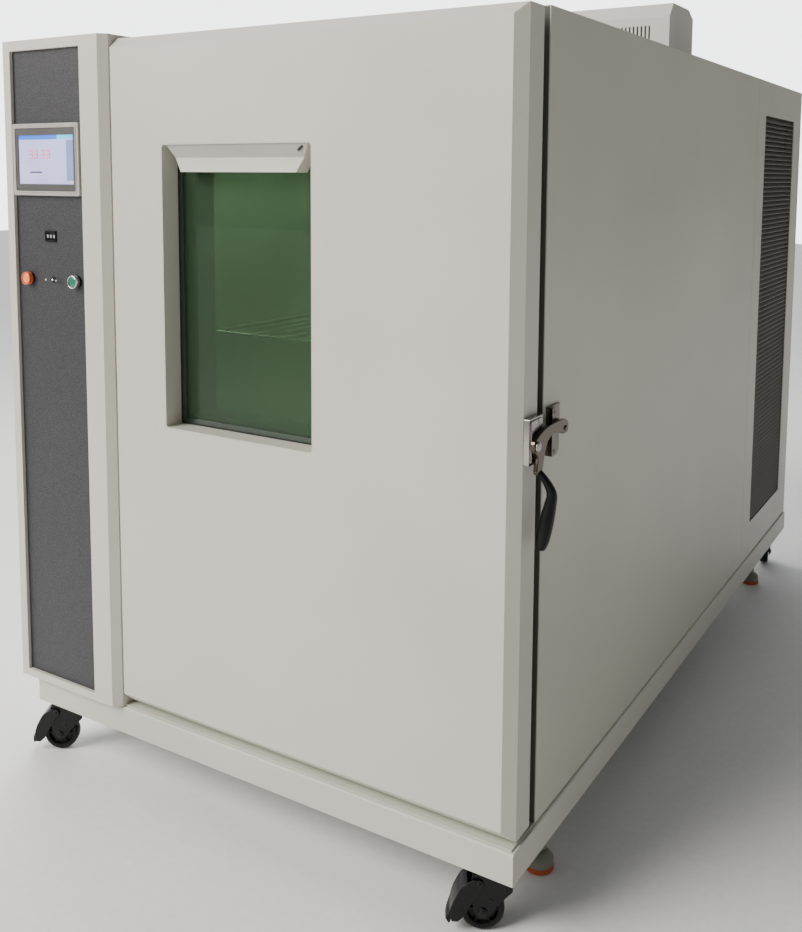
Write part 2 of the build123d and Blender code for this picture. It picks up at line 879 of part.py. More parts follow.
# Condenser behind the right grille with fan rings, motor bars and end plates down to the deck
cond_x1 = door_right - skin - grille_depth - condenser_gap
cond_x0 = cond_x1 - condenser_thickness
cond_z0 = grille_bottom + 20
cond_z1 = grille_top - 20
cond_middle_z = (cond_z0 + cond_z1) / 2
fan_y = (grille_front + grille_rear) / 2
fan_levels = {"lower": cond_middle_z - fan_spread / 2, "upper": cond_middle_z + fan_spread / 2}
fan_x1 = cond_x0 - 10
fan_x0 = fan_x1 - fan_depth
motor_x0 = fan_x0 - 8
with BuildPart() as condenser:
    block(cond_x0, cond_x1, grille_front, grille_rear, cond_z0, cond_z1)
    step = (cond_z1 - cond_z0) / condenser_fins
    with Locations((cond_x1, fan_y, cond_middle_z)):
        for i in range(condenser_fins):
            with Locations((0, 0, (i - (condenser_fins - 1) / 2) * step)):
                Box(40, grille_length - 30, step * 0.6, mode=Mode.SUBTRACT)
    for y in (grille_front, grille_rear - 4):
        block(cond_x0 - 110, cond_x1, y, y + 4, deck_top, cond_z1)
    for z in fan_levels.values():
        for y in (grille_front + 60, grille_rear - 60):
            block(motor_x0 - 22, motor_x0 - 14, y - 8, y + 8, z - 10, z + 10)
        block(motor_x0 - 22, motor_x0 - 14, grille_front, grille_rear, z - 10, z + 10)
        rod(motor_x0 - 22, fan_y, z, 42, 44, "x")
        rod(motor_x0, fan_y, z, fan_shaft / 2 + shaft_fit, 60, "x", Mode.SUBTRACT)
finish(condenser, "condenser")


# Axial fan: hub, twisted blades and a shaft into its motor
def axial_fan(z, name):
    with BuildPart() as fan:
        rod((fan_x0 + fan_x1) / 2, fan_y, z, fan_hub / 2, fan_depth, "x")
        rod(motor_x0 - 2, fan_y, z, fan_shaft / 2, 44, "x")
        for i in range(fan_blades):
            turn = Rotation(i * 360 / fan_blades, 0, 0)
            with Locations(Location(((fan_x0 + fan_x1) / 2, fan_y, z)) * turn):
                with Locations(Location((0, 0, fan_diameter / 4 + 16), (0, 0, 32))):
                    Box(4, 86, fan_diameter / 2 - 40)
    finish(fan, name)


axial_fan(fan_levels["upper"], "condenser_fan_upper")
axial_fan(fan_levels["lower"], "condenser_fan_lower")

# Door skin, bevelled at its top, right and bottom edges
bevel_edges = (
    ("top", Axis.Z, -1),
    ("bottom", Axis.Z, 0),
    ("right", Axis.X, -1),
)


def door_block(inset, depth):
    with BuildPart() as body:
        block(
            door_left + inset,
            door_right - inset,
            door_front + inset,
            door_front + depth,
            door_bottom + inset,
            door_top - inset,
        )
        front = body.faces().sort_by(Axis.Y)[0].edges()
        chamfer([front.sort_by(axis)[end] for _, axis, end in bevel_edges], door_bevel - inset * 0.4)
    return body.part


door_outer = door_block(0, door_thickness)
door_core = door_block(door_skin, door_thickness)
bush_radius = pivot_bush / 2

# Room in the door's hinge edge for the fixed arms and, above and below them, for the bushes
with BuildPart() as pocket_maker:
    for level in pivot_levels:
        z = door_bottom + level
        block(
            door_left - 1,
            pivot_x + bush_radius + 0.5,
            door_front + door_skin,
            door_back + 1,
            z - pivot_pocket_height / 2,
            z + pivot_pocket_height / 2,
        )
pivot_pockets = pocket_maker.part
with BuildPart() as door_shell:
    add(door_outer)
    add(door_core, mode=Mode.SUBTRACT)
    with BuildSketch(Plane.XZ.offset(-door_back)) as window_cut:
        with Locations(((window_left + window_right) / 2, (window_bottom + window_top) / 2)):
            RectangleRounded(window_width, window_height, window_corner)
    extrude(amount=door_thickness + 10, mode=Mode.SUBTRACT)
    add(pivot_pockets, mode=Mode.SUBTRACT)
finish(door_shell, "door_shell")

# Foam core and stainless plug behind the skin, with the window tunnel
with BuildPart() as door_plug:
    add(door_core)
    block(plug_left, plug_right, door_back, plug_back, plug_bottom, plug_top)
    chamfer(door_plug.faces().sort_by(Axis.Y)[-1].edges(), 8)
    with BuildSketch(Plane.XZ.offset(-(plug_back + 1))) as tunnel:
        with Locations(((window_left + window_right) / 2, (window_bottom + window_top) / 2)):
            RectangleRounded(window_width, window_height, window_corner)
    extrude(amount=plug_back - door_front + 10, mode=Mode.SUBTRACT)
    add(pivot_pockets, mode=Mode.SUBTRACT)
    bush_span = pivot_pocket_height + 2 * pivot_bush_length
    for level in pivot_levels:
        rod(pivot_x, pivot_y, door_bottom + level, bush_radius, bush_span, mode=Mode.SUBTRACT)
finish(door_plug, "door_plug")

with BuildPart() as door_gasket:
    gasket_in = gasket_stand_off
    gasket_out = gasket_stand_off + gasket_width
    block(
        cavity_left - gasket_out,
        cavity_right + gasket_out,
        door_back,
        frame_front,
        cavity_floor - gasket_out,
        cavity_ceiling + gasket_out,
    )
    fillet(door_gasket.edges().filter_by(Axis.Y), 20)
    block(
        cavity_left - gasket_in,
        cavity_right + gasket_in,
        door_back - 1,
        frame_front + 1,
        cavity_floor - gasket_in,
        cavity_ceiling + gasket_in,
        Mode.SUBTRACT,
    )
finish(door_gasket, "door_gasket")

# Window: reveal tube with an inner lip, three panes and the lamp visor under its head
tunnel_back = plug_back
middle = ((window_left + window_right) / 2, (window_bottom + window_top) / 2)
inner_width = window_width - 2 * trim_wall
inner_height = window_height - 2 * trim_wall
inner_corner = window_corner - trim_wall
with BuildPart() as window_trim:
    with BuildSketch(Plane.XZ.offset(-tunnel_back)) as reveal:
        with Locations(middle):
            RectangleRounded(window_width, window_height, window_corner)
            RectangleRounded(inner_width, inner_height, inner_corner, mode=Mode.SUBTRACT)
    extrude(amount=tunnel_back - door_front)
    with BuildSketch(Plane.XZ.offset(-(door_front + window_recess))) as lip:
        with Locations(middle):
            RectangleRounded(inner_width + trim_wall, inner_height + trim_wall, inner_corner)
            Rectangle(inner_width - 2 * window_lip, inner_height - 2 * window_lip, mode=Mode.SUBTRACT)
    extrude(amount=2)
finish(window_trim, "window_trim")

pane_places = (
    door_front + window_recess,
    door_front + window_recess + 32,
    tunnel_back - pane_thickness - 2,
)
with BuildPart() as window_glass:
    for y in pane_places:
        with BuildSketch(Plane.XZ.offset(-(y + pane_thickness))) as pane:
            with Locations(middle):
                RectangleRounded(inner_width, inner_height, inner_corner)
        extrude(amount=pane_thickness)
finish(window_glass, "window_glass")

visor_front = 3
visor_fold_drop = 26
visor_fold_depth = 14
visor_drop = 54
visor_edge_depth = 10
visor_mitre_top = 8
visor_mitre = 42
with BuildPart() as window_visor:
    visor_left = window_left + trim_wall
    visor_right = window_right - trim_wall
    visor_z1 = window_top - trim_wall
    visor_y1 = door_front + window_recess - 2
    with BuildSketch(Plane.YZ.offset(visor_left)) as visor_section:
        with BuildLine():
            Polyline(
                (door_front + visor_front, visor_z1),
                (door_front + visor_fold_depth, visor_z1 - visor_fold_drop),
                (door_front + visor_edge_depth, visor_z1 - visor_drop),
                (visor_y1, visor_z1 - visor_drop),
                (visor_y1, visor_z1),
                close=True,
            )
        make_face()
    extrude(amount=visor_right - visor_left)
    for edge, side in ((visor_left, 1), (visor_right, -1)):
        with BuildSketch(Plane.XZ.offset(-(visor_y1 + 1))) as mitre:
            with BuildLine():
                Polyline(
                    (edge - side, visor_z1 + 1),
                    (edge + side * visor_mitre_top, visor_z1 + 1),
                    (edge + side * visor_mitre, visor_z1 - visor_drop - 1),
                    (edge - side, visor_z1 - visor_drop - 1),
                    close=True,
                )
            make_face()
        extrude(amount=window_recess + 10, mode=Mode.SUBTRACT)
    with BuildSketch(Plane.XZ.offset(-(visor_y1 + 1))) as opening:
        with Locations(middle):
            RectangleRounded(inner_width, inner_height, inner_corner)
    extrude(amount=window_recess + 10, mode=Mode.INTERSECT)
finish(window_visor, "window_visor")

# Hinge arms on the cabinet's front and the bushes let into the door
with BuildPart() as hinge_brackets:
    for level in pivot_levels:
        z = door_bottom + level
        half = pivot_arm_width / 2
        z0 = z - pivot_arm_height / 2
        z1 = z + pivot_arm_height / 2
        rod(pivot_x, pivot_y, z, pivot_eye, pivot_arm_height)
        block(pivot_x - half, pivot_x + half, pivot_y, frame_front - pivot_plate / 2, z0, z1)
        block(pivot_x - 26, pivot_x + 26, frame_front - pivot_plate, frame_front, z0 - 30, z1 + 30)
        rod(pivot_x, pivot_y, z, pivot_pin / 2, pivot_pocket_height + 2 * pivot_bush_length - 4)
finish(hinge_brackets, "hinge_brackets")

with BuildPart() as hinge_bushes:
    for level in pivot_levels:
        offset = (pivot_pocket_height + pivot_bush_length) / 2
        for z in (door_bottom + level - offset, door_bottom + level + offset):
            rod(pivot_x, pivot_y, z, bush_radius, pivot_bush_length)
    for level in pivot_levels:
        rod(pivot_x, pivot_y, door_bottom + level, pivot_pin / 2 + pivot_fit, 200, mode=Mode.SUBTRACT)
finish(hinge_bushes, "hinge_bushes")

# Latch: body on the door's edge, lever with hook arm, roller, grip and the keeper on the cabinet
latch_z0 = latch_middle - latch_height / 2
latch_z1 = latch_middle + latch_height / 2
with BuildPart() as latch_body:
    block(
        door_right,
        door_right + latch_body_reach,
        door_front + door_bevel + 2,
        door_back,
        latch_z0,
        latch_z1,
    )
    chamfer(latch_body.faces().sort_by(Axis.X)[-1].edges(), 2)
    pin_end = lever_outer + 4
    pin_length = pin_end - door_right - latch_body_reach
    rod((pin_end + door_right + latch_body_reach) / 2, latch_y, latch_z, lever_pin / 2, pin_length + 0.5, "x")
    rod(lever_outer + 2.2, latch_y, latch_z, 9, 3.6, "x")
finish(latch_body, "latch_body")

# Lever outline about its pivot, in the plane of the door's side
lever_outline = (
    (-12, 5),
    (-6, 12),
    (10, 19),
    (32, 25),
    (60, 27),
    (92, 27),
    (118, 25),
    (130, 18),
    (132, 9),
    (127, 0),
    (110, -1),
    (98, 5),
    (64, 8),
    (44, 2),
    (33, -14),
    (22, -46),
    (8, -52),
    (0, -44),
    (6, -22),
    (-6, -11),
)
with BuildPart() as latch_lever:
    with BuildSketch(Plane.YZ.offset(lever_inner)) as lever_shape:
        with BuildLine():
            Polyline(*[(latch_y + u, latch_z + v) for u, v in lever_outline], close=True)
        make_face()
    extrude(amount=lever_thickness)
    rod(lever_inner + 4, latch_y, latch_z, lever_pin / 2 + pivot_fit, 20, "x", Mode.SUBTRACT)
    rod(lever_inner - roller_width / 2, roller_y, roller_z, 3, roller_width + 2, "x")
finish(latch_lever, "latch_lever")

with BuildPart() as latch_roller:
    rod(roller_x, roller_y, roller_z, roller_radius, roller_width, "x")
    rod(roller_x, roller_y, roller_z, 3 + pivot_fit, roller_width + 2, "x", Mode.SUBTRACT)
finish(latch_roller, "latch_roller")

# Stout grip on the lever's tail, lofted through eight-sided sections
grip_top_z = latch_z - grip_start_drop
grip_bottom_z = latch_z - grip_drop
grip_x = door_right + latch_reach - grip_half_width
grip_sections = (
    (0, 0.45, -9, -2),
    (0.16, 0.72, -5, 0),
    (0.4, 1, 0, 2),
    (0.72, 0.86, -2, -2),
    (1, 0.5, -8, -9),
)
with BuildPart() as latch_grip:
    for at, swell, out, back in grip_sections:
        z = grip_top_z + (grip_bottom_z - grip_top_z) * at
        with BuildSketch(Plane.XY.offset(z)) as section:
            with Locations((grip_x + out, latch_y + grip_lean + back)):
                Rectangle(2 * grip_half_width * swell, 2 * grip_half_depth * swell)
            chamfer(section.vertices(), 7 * swell)
    loft(ruled=True)
    block(
        lever_inner - 0.1,
        lever_outer + 0.05,
        latch_y - 30,
        latch_y + 50,
        latch_z - 53,
        latch_z,
        Mode.SUBTRACT,
    )
finish(latch_grip, "latch_grip")

# Keeper: a base plate and a cam block that ends short of the roller's path
with BuildPart() as latch_keeper:
    keeper_z0 = latch_middle - keeper_height / 2
    keeper_z1 = latch_middle + keeper_height / 2
    keeper_y0 = frame_front + keeper_gap
    cam_radius = roller_orbit - roller_radius - cam_clearance
    block(door_right, door_right + keeper_plate, keeper_y0, keeper_y0 + keeper_width, keeper_z0, keeper_z1)
    with BuildSketch(Plane.YZ.offset(door_right)) as keeper_shape:
        with Locations((latch_y, latch_z)):
            Circle(cam_radius)
        with BuildLine():
            Polyline(
                (keeper_y0, keeper_z0),
                (keeper_y0, keeper_z1),
                (keeper_y0 + 2 * keeper_width, keeper_z1),
                (keeper_y0 + 2 * keeper_width, keeper_z0),
                close=True,
            )
        make_face(mode=Mode.INTERSECT)
    extrude(amount=keeper_reach)
finish(latch_keeper, "latch_keeper")


# Caster parts, drawn about the swivel axis with the wheel trailing along +X
def caster_plane(name):
    x, y = caster_places[name]
    turn = math.radians(caster_turns[name])
    return Plane(origin=(x, y, 0), x_dir=(math.cos(turn), math.sin(turn), 0), z_dir=(0, 0, 1))


axle_z = caster_wheel + caster_lift
cheek_y = caster_wheel_width / 2 + caster_cheek_gap
head_top = base_bottom - caster_head_gap
head_bottom = head_top - caster_head_height
crown_bottom = head_bottom - 6


def caster_fork(name):
    home = caster_plane(name)
    with BuildPart(home) as fork:
        rod(0, 0, (head_top + head_bottom) / 2, caster_head, caster_head_height)
        chamfer(fork.edges().filter_by(GeomType.CIRCLE).group_by(Axis.Z)[0], 3)
        rod(0, 0, head_top + 5, caster_stem / 2, 12)
        block(-28, 46, -cheek_y - caster_cheek, cheek_y + caster_cheek, crown_bottom, head_bottom)
        for y0 in (-cheek_y - caster_cheek, cheek_y):
            with BuildSketch(home * Plane.XZ.offset(-y0)) as cheek:
                with BuildLine():
                    Polyline(
                        (-28, head_bottom),
                        (46, head_bottom),
                        (48, 90),
                        (caster_trail + 18, axle_z + 6),
                        (caster_trail + 9, axle_z - 13),
                        (caster_trail - 8, axle_z - 13),
                        (4, axle_z + 6),
                        (-26, axle_z + 40),
                        close=True,
                    )
                make_face()
            extrude(amount=-caster_cheek)
        rod(caster_trail, 0, axle_z, caster_axle / 2, 2 * (cheek_y + caster_cheek + 3), "y")
        for y in (-cheek_y - caster_cheek - 1.5, cheek_y + caster_cheek + 1.5):
            rod(caster_trail, y, axle_z, 8, 3, "y")
        if name in braked_casters:
            x, z = pedal_pivot
            rod(x, 0, z, pedal_pin + pedal_fit, 100, "y", Mode.SUBTRACT)
    finish(fork, f"caster_fork_{name}")


def caster_roll(name):
    with BuildPart(caster_plane(name)) as wheel:
        rod(caster_trail, 0, axle_z, caster_wheel, caster_wheel_width, "y")
        chamfer(wheel.edges().filter_by(GeomType.CIRCLE), 4)
        for y in (-caster_wheel_width / 2, caster_wheel_width / 2):
            rod(caster_trail, y, axle_z, caster_wheel - 12, 8, "y", Mode.SUBTRACT)
        rod(caster_trail, 0, axle_z, 9, caster_wheel_width, "y")
        rod(caster_trail, 0, axle_z, caster_axle / 2 + caster_axle_fit, 60, "y", Mode.SUBTRACT)
    finish(wheel, f"caster_wheel_{name}")


# Brake pedal: a hood over the wheel's trailing side, hung on a pin through the fork
pedal_pivot = (34, 96)
pedal_pin = 3
pedal_fit = 0.05
pedal_thickness = 4
pedal_reach = 94
pedal_corner = 16
caster_length = 130
pedal_half = cheek_y + caster_cheek + 0.5 + pedal_thickness


def brake_pedal(name):
    home = caster_plane(name)
    x, z = pedal_pivot
    with BuildPart(home) as pedal:
        with BuildSketch(home * Plane.XZ.offset(-pedal_half)) as hood:
            with BuildLine():
                Polyline(
                    (x - 7, z + 7),
                    (x + 10, z + 8),
                    (66, 88),
                    (79, 64),
                    (88, 36),
                    (pedal_reach, 22),
                    (88, 18),
                    (82, 32),
                    (72, 62),
                    (61, 74),
                    (50, 80),
                    (x - 5, z - 7),
                    close=True,
                )
            make_face()
        extrude(amount=2 * pedal_half)
        inner = pedal_half - pedal_thickness
        with BuildSketch(home * Plane.XZ.offset(-inner)) as hollow:
            with BuildLine():
                Polyline(
                    (x - 12, z + 12),
                    (48, z + 12),
                    (61, 84),
                    (71, 64),
                    (61, 66),
                    (x - 12, 60),
                    close=True,
                )
            make_face()
        extrude(amount=2 * inner, mode=Mode.SUBTRACT)
        with BuildSketch(home) as plan:
            RectangleRounded(2 * pedal_reach, 2 * pedal_half, pedal_corner)
        extrude(amount=caster_length, mode=Mode.INTERSECT)
        rod(x, 0, z, pedal_pin, 2 * inner + 2, "y")
    finish(pedal, f"brake_pedal_{name}")


for corner in corners:
    caster_fork(corner)
    caster_roll(corner)
for corner in braked_casters:
    brake_pedal(corner)


# Levelling foot: pad, disc and threaded spindle up through its nut
def levelling_foot(name):
    x, y = foot_places[name]
    cap_top = foot_pad_height + foot_cap_height
    spindle_top = base_bottom + rail_height - rail_wall - 22
    with BuildPart() as foot:
        rod(x, y, foot_pad_height / 2, foot_disc, foot_pad_height)
        rod(x, y, foot_pad_height + foot_cap_height / 2, foot_disc - 1, foot_cap_height)
        chamfer(foot.edges().filter_by(GeomType.CIRCLE).group_by(Axis.Z)[-1], 12)
        rod(x, y, (cap_top + spindle_top) / 2, foot_spindle / 2, spindle_top - cap_top + 2)
        with BuildSketch(Plane((x, y, cap_top + 4))) as hexagon:
            RegularPolygon(14, 6)
        extrude(amount=10)
    finish(foot, f"levelling_foot_{name}")


for corner in corners:
    levelling_foot(corner)
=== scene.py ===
import bmesh
import bpy
import json
import math
from mathutils import Matrix, Vector


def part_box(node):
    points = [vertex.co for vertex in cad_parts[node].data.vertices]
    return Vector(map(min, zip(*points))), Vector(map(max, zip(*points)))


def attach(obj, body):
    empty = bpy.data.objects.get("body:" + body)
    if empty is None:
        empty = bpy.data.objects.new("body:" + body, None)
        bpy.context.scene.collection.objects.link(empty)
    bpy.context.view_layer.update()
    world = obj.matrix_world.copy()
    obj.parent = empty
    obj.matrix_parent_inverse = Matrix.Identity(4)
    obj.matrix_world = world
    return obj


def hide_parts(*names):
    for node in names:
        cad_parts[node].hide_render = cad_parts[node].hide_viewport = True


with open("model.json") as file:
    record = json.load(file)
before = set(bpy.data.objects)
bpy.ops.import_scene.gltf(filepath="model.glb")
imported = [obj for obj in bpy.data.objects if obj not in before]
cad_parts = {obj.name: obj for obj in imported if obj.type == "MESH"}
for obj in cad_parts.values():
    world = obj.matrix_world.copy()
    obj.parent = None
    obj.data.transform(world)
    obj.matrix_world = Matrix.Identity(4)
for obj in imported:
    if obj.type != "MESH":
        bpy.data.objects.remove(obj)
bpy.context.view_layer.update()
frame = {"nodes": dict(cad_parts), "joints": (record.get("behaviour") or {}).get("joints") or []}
nodes = frame["nodes"]
mm = 0.001
print("frame loaded:", len(nodes), "nodes")


# small mesh helpers

def placeAt(centre, direction=(0, 0, 1), turn=0.0):
    d = Vector(direction).normalized()
    q = Vector((0, 0, 1)).rotation_difference(d)
    return Matrix.Translation(Vector(centre)) @ q.to_matrix().to_4x4() @ Matrix.Rotation(turn, 4, "Z")


def framePlane(origin, xDir, zDir):
    z = Vector(zDir).normalized()
    x = Vector(xDir).normalized()
    y = z.cross(x)
    m = Matrix((x, y, z)).transposed().to_4x4()
    m.translation = Vector(origin)
    return m


def lathe(bm, profile, place, steps=40):
    rings = []
    for r, h in profile:  # radius and height pairs
        if r < 1e-7:
            rings.append([bm.verts.new(place @ Vector((0, 0, h)))])
            continue
        turns = [2 * math.pi * i / steps for i in range(steps)]
        rings.append([bm.verts.new(place @ Vector((r * math.cos(a), r * math.sin(a), h))) for a in turns])
    for a, b in zip(rings, rings[1:]):
        if len(a) == 1 and len(b) == 1:
            continue
        for i in range(steps):
            j = (i + 1) % steps
            if len(a) == 1:
                bm.faces.new((a[0], b[j], b[i]))
            elif len(b) == 1:
                bm.faces.new((a[i], a[j], b[0]))
            else:
                bm.faces.new((a[i], a[j], b[j], b[i]))


def slab(bm, outline, z0, z1, place):
    low = [bm.verts.new(place @ Vector((u, v, z0))) for u, v in outline]
    top = [bm.verts.new(place @ Vector((u, v, z1))) for u, v in outline]
    bm.faces.new(list(reversed(low)))
    bm.faces.new(top)
    n = len(outline)
    for i in range(n):
        j = (i + 1) % n
        bm.faces.new((low[i], low[j], top[j], top[i]))


def ringSlab(bm, outer, inner, z0, z1, place):
    rows = [[bm.verts.new(place @ Vector((u, v, z))) for u, v in loop] for loop, z in
            ((outer, z0), (outer, z1), (inner, z1), (inner, z0))]
    n = len(outer)
    for a in range(4):
        b = (a + 1) % 4
        for i in range(n):
            j = (i + 1) % n
            bm.faces.new((rows[a][i], rows[a][j], rows[b][j], rows[b][i]))


def sweep(bm, points, radius, steps=12):
    pts = [Vector(p) for p in points]
    n = len(pts)
    rings, side = [], None
    for i, p in enumerate(pts):
        before = pts[max(i - 1, 0)]
        after = pts[min(i + 1, n - 1)]
        t = (after - before).normalized()
        if side is None:
            side = t.orthogonal().normalized()
        side = (side - t * side.dot(t)).normalized()
        up = t.cross(side)
        turns = [2 * math.pi * k / steps for k in range(steps)]
        rings.append([bm.verts.new(p + (side * math.cos(a) + up * math.sin(a)) * radius) for a in turns])
    for a, b in zip(rings, rings[1:]):
        for k in range(steps):
            m = (k + 1) % steps
            bm.faces.new((a[k], a[m], b[m], b[k]))
    bm.faces.new(list(reversed(rings[0])))
    bm.faces.new(rings[-1])


def roundedRect(w, h, r, steps=5):
    pts = []
    x, y = w / 2 - r, h / 2 - r
    for cx, cy, a0 in ((x, y, 0), (-x, y, 90), (-x, -y, 180), (x, -y, 270)):
        for k in range(steps + 1):
            a = math.radians(a0 + 90 * k / steps)
            pts.append((cx + r * math.cos(a), cy + r * math.sin(a)))
    return pts


def inMm(pairs):
    return [(u * mm, v * mm) for u, v in pairs]


def jointAt(name):
    return Vector(next(j for j in frame["joints"] if j["name"] == name)["pos_m"])


def frameRing(bm, w, h, outer, inner, depth, place):
    # outer and inner say how much smaller than w and h a loop is, and its corner radius, in mm
    loops = [roundedRect(w - less * mm, h - less * mm, r * mm) for less, r in (outer, inner)]
    ringSlab(bm, *loops, depth[0] * mm, depth[1] * mm, place)


def boxAt(bm, lo, hi):
    lo, hi = Vector(lo), Vector(hi)
    outline = [(lo.x, lo.y), (hi.x, lo.y), (hi.x, hi.y), (lo.x, hi.y)]
    slab(bm, outline, lo.z, hi.z, Matrix.Identity(4))


def piece(name, bm, body, mat, soft=None, sharp=35, instead=()):
    bmesh.ops.recalc_face_normals(bm, faces=bm.faces)
    mesh = bpy.data.meshes.new(name)
    bm.to_mesh(mesh)
    bm.free()
    mesh.polygons.foreach_set("use_smooth", [True] * len(mesh.polygons))
    mesh.set_sharp_from_angle(angle=math.radians(sharp))
    obj = bpy.data.objects.new(name, mesh)
    bpy.context.scene.collection.objects.link(obj)
    for m in (mat if isinstance(mat, (list, tuple)) else [mat]):
        mesh.materials.append(m)
    if soft:
        mod = obj.modifiers.new("softEdges", "BEVEL")
        mod.width, mod.segments, mod.limit_method, mod.angle_limit = soft, 3, "ANGLE", math.radians(30)
        mod.harden_normals = False
    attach(obj, body)
    if instead:
        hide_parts(*instead)
    return obj


# node materials

def startMat(name):
    mat = bpy.data.materials.new(name)
    mat.use_nodes = True
    tree = mat.node_tree
    tree.nodes.clear()
    out = tree.nodes.new("ShaderNodeOutputMaterial")
    shader = tree.nodes.new("ShaderNodeBsdfPrincipled")
    tree.links.new(shader.outputs["BSDF"], out.inputs["Surface"])
    coords = tree.nodes.new("ShaderNodeTexCoord")
    return mat, tree, shader, coords.outputs["Object"]


def noise(tree, vec, scale, detail=3.0, rough=0.5, stretch=None):
    if stretch:
        mapping = tree.nodes.new("ShaderNodeMapping")
        mapping.inputs["Scale"].default_value = stretch
        tree.links.new(vec, mapping.inputs["Vector"])
        vec = mapping.outputs["Vector"]
    n = tree.nodes.new("ShaderNodeTexNoise")
    n.inputs["Scale"].default_value = scale
    n.inputs["Detail"].default_value = detail
    n.inputs["Roughness"].default_value = rough
    tree.links.new(vec, n.inputs["Vector"])
    return n.outputs["Fac"]


def ramp(tree, fac, stops):
    r = tree.nodes.new("ShaderNodeValToRGB")
    e = r.color_ramp.elements
    e[0].position, e[0].color = stops[0][0], (*stops[0][1], 1)
    e[1].position, e[1].color = stops[-1][0], (*stops[-1][1], 1)
    for pos, col in stops[1:-1]:
        x = e.new(pos)
        x.color = (*col, 1)
    tree.links.new(fac, r.inputs["Fac"])
    return r.outputs["Color"]


def bump(tree, shader, height, strength, distance, soften=None):
    b = tree.nodes.new("ShaderNodeBump")
    b.inputs["Strength"].default_value = strength
    b.inputs["Distance"].default_value = distance
    tree.links.new(height, b.inputs["Height"])
    if soften:
        v = tree.nodes.new("ShaderNodeBevel")
        v.samples = 4
        v.inputs["Radius"].default_value = soften
        tree.links.new(v.outputs["Normal"], b.inputs["Normal"])
    tree.links.new(b.outputs["Normal"], shader.inputs["Normal"])


def scaled(c, k):
    return tuple(min(1.0, x * k) for x in c)


def roughRange(tree, shader, fac, low, high):
    m = tree.nodes.new("ShaderNodeMapRange")
    m.inputs["To Min"].default_value = low
    m.inputs["To Max"].default_value = high
    tree.links.new(fac, m.inputs["Value"])
    tree.links.new(m.outputs["Result"], shader.inputs["Roughness"])


def coated(name, colour, rough=0.42, grain=1400, depth=0.00006, drift=0.05, soften=0.0012, flecks=0.02):
    mat, tree, shader, vec = startMat(name)
    big = noise(tree, vec, 2.2, 2)
    fine = noise(tree, vec, grain, 2, 0.6)
    base = ramp(tree, big, [(0.3, scaled(colour, 1 - drift)), (0.7, scaled(colour, 1 + drift))])
    speck = ramp(tree, fine, [(0.35, scaled((1, 1, 1), 1 - flecks * 2)), (0.65, (1, 1, 1))])
    mix = tree.nodes.new("ShaderNodeMix")
    mix.data_type, mix.blend_type = "RGBA", "MULTIPLY"
    mix.inputs["Factor"].default_value = 1
    tree.links.new(base, mix.inputs[6])
    tree.links.new(speck, mix.inputs[7])
    tree.links.new(mix.outputs[2], shader.inputs["Base Color"])
    roughRange(tree, shader, fine, rough - 0.05, rough + 0.08)
    bump(tree, shader, fine, 0.35, depth, soften)
    return mat


def hammered(name, dark, light):
    mat, tree, shader, vec = startMat(name)
    cells = tree.nodes.new("ShaderNodeTexVoronoi")
    cells.feature = "SMOOTH_F1"
    cells.inputs["Scale"].default_value = 420
    tree.links.new(vec, cells.inputs["Vector"])
    soft = noise(tree, vec, 260, 3)
    base = ramp(tree, cells.outputs["Distance"], [(0.05, light), (0.55, dark)])
    tree.links.new(base, shader.inputs["Base Color"])
    shader.inputs["Metallic"].default_value = 0.1
    roughRange(tree, shader, soft, 0.40, 0.60)
    bump(tree, shader, cells.outputs["Distance"], 0.6, 0.0004, 0.001)
    return mat


def metal(name, colour, rough=0.25, streak=(1, 1, 40), grain=90, depth=0.00004, soften=0.0008, metallic=1.0):
    mat, tree, shader, vec = startMat(name)
    lines = noise(tree, vec, grain, 4, 0.6, streak)
    tone = ramp(tree, lines, [(0.3, scaled(colour, 0.86)), (0.7, scaled(colour, 1.05))])
    tree.links.new(tone, shader.inputs["Base Color"])
    shader.inputs["Metallic"].default_value = metallic
    roughRange(tree, shader, lines, rough - 0.08, rough + 0.10)
    bump(tree, shader, lines, 0.25, depth, soften)
    return mat


def plastic(name, colour, rough=0.4, grain=900, depth=0.00005, coat=0.0, soften=0.0008, glow=0.0, shine=0.5):
    mat, tree, shader, vec = startMat(name)
    shader.inputs["Specular IOR Level"].default_value = shine
    fine = noise(tree, vec, grain, 2)
    tone = ramp(tree, noise(tree, vec, 35, 3), [(0.3, scaled(colour, 0.9)), (0.7, scaled(colour, 1.08))])
    tree.links.new(tone, shader.inputs["Base Color"])
    roughRange(tree, shader, fine, max(rough - 0.07, 0.05), rough + 0.08)
    shader.inputs["Coat Weight"].default_value = coat
    if glow:
        tree.links.new(tone, shader.inputs["Emission Color"])
        shader.inputs["Emission Strength"].default_value = glow
    bump(tree, shader, fine, 0.25, depth, soften)
    return mat


def clearGlass(name, tint, alpha, through=1.0):
    mat, tree, shader, vec = startMat(name)
    wave = noise(tree, vec, 3, 1)
    tone = ramp(tree, wave, [(0.3, scaled(tint, 0.9)), (0.7, tint)])
    tree.links.new(tone, shader.inputs["Base Color"])
    shader.inputs["Transmission Weight"].default_value = through
    shader.inputs["Alpha"].default_value = alpha
    roughRange(tree, shader, wave, 0.01, 0.04)
    shader.inputs["IOR"].default_value = 1.2
    bump(tree, shader, wave, 0.05, 0.0001)
    return mat


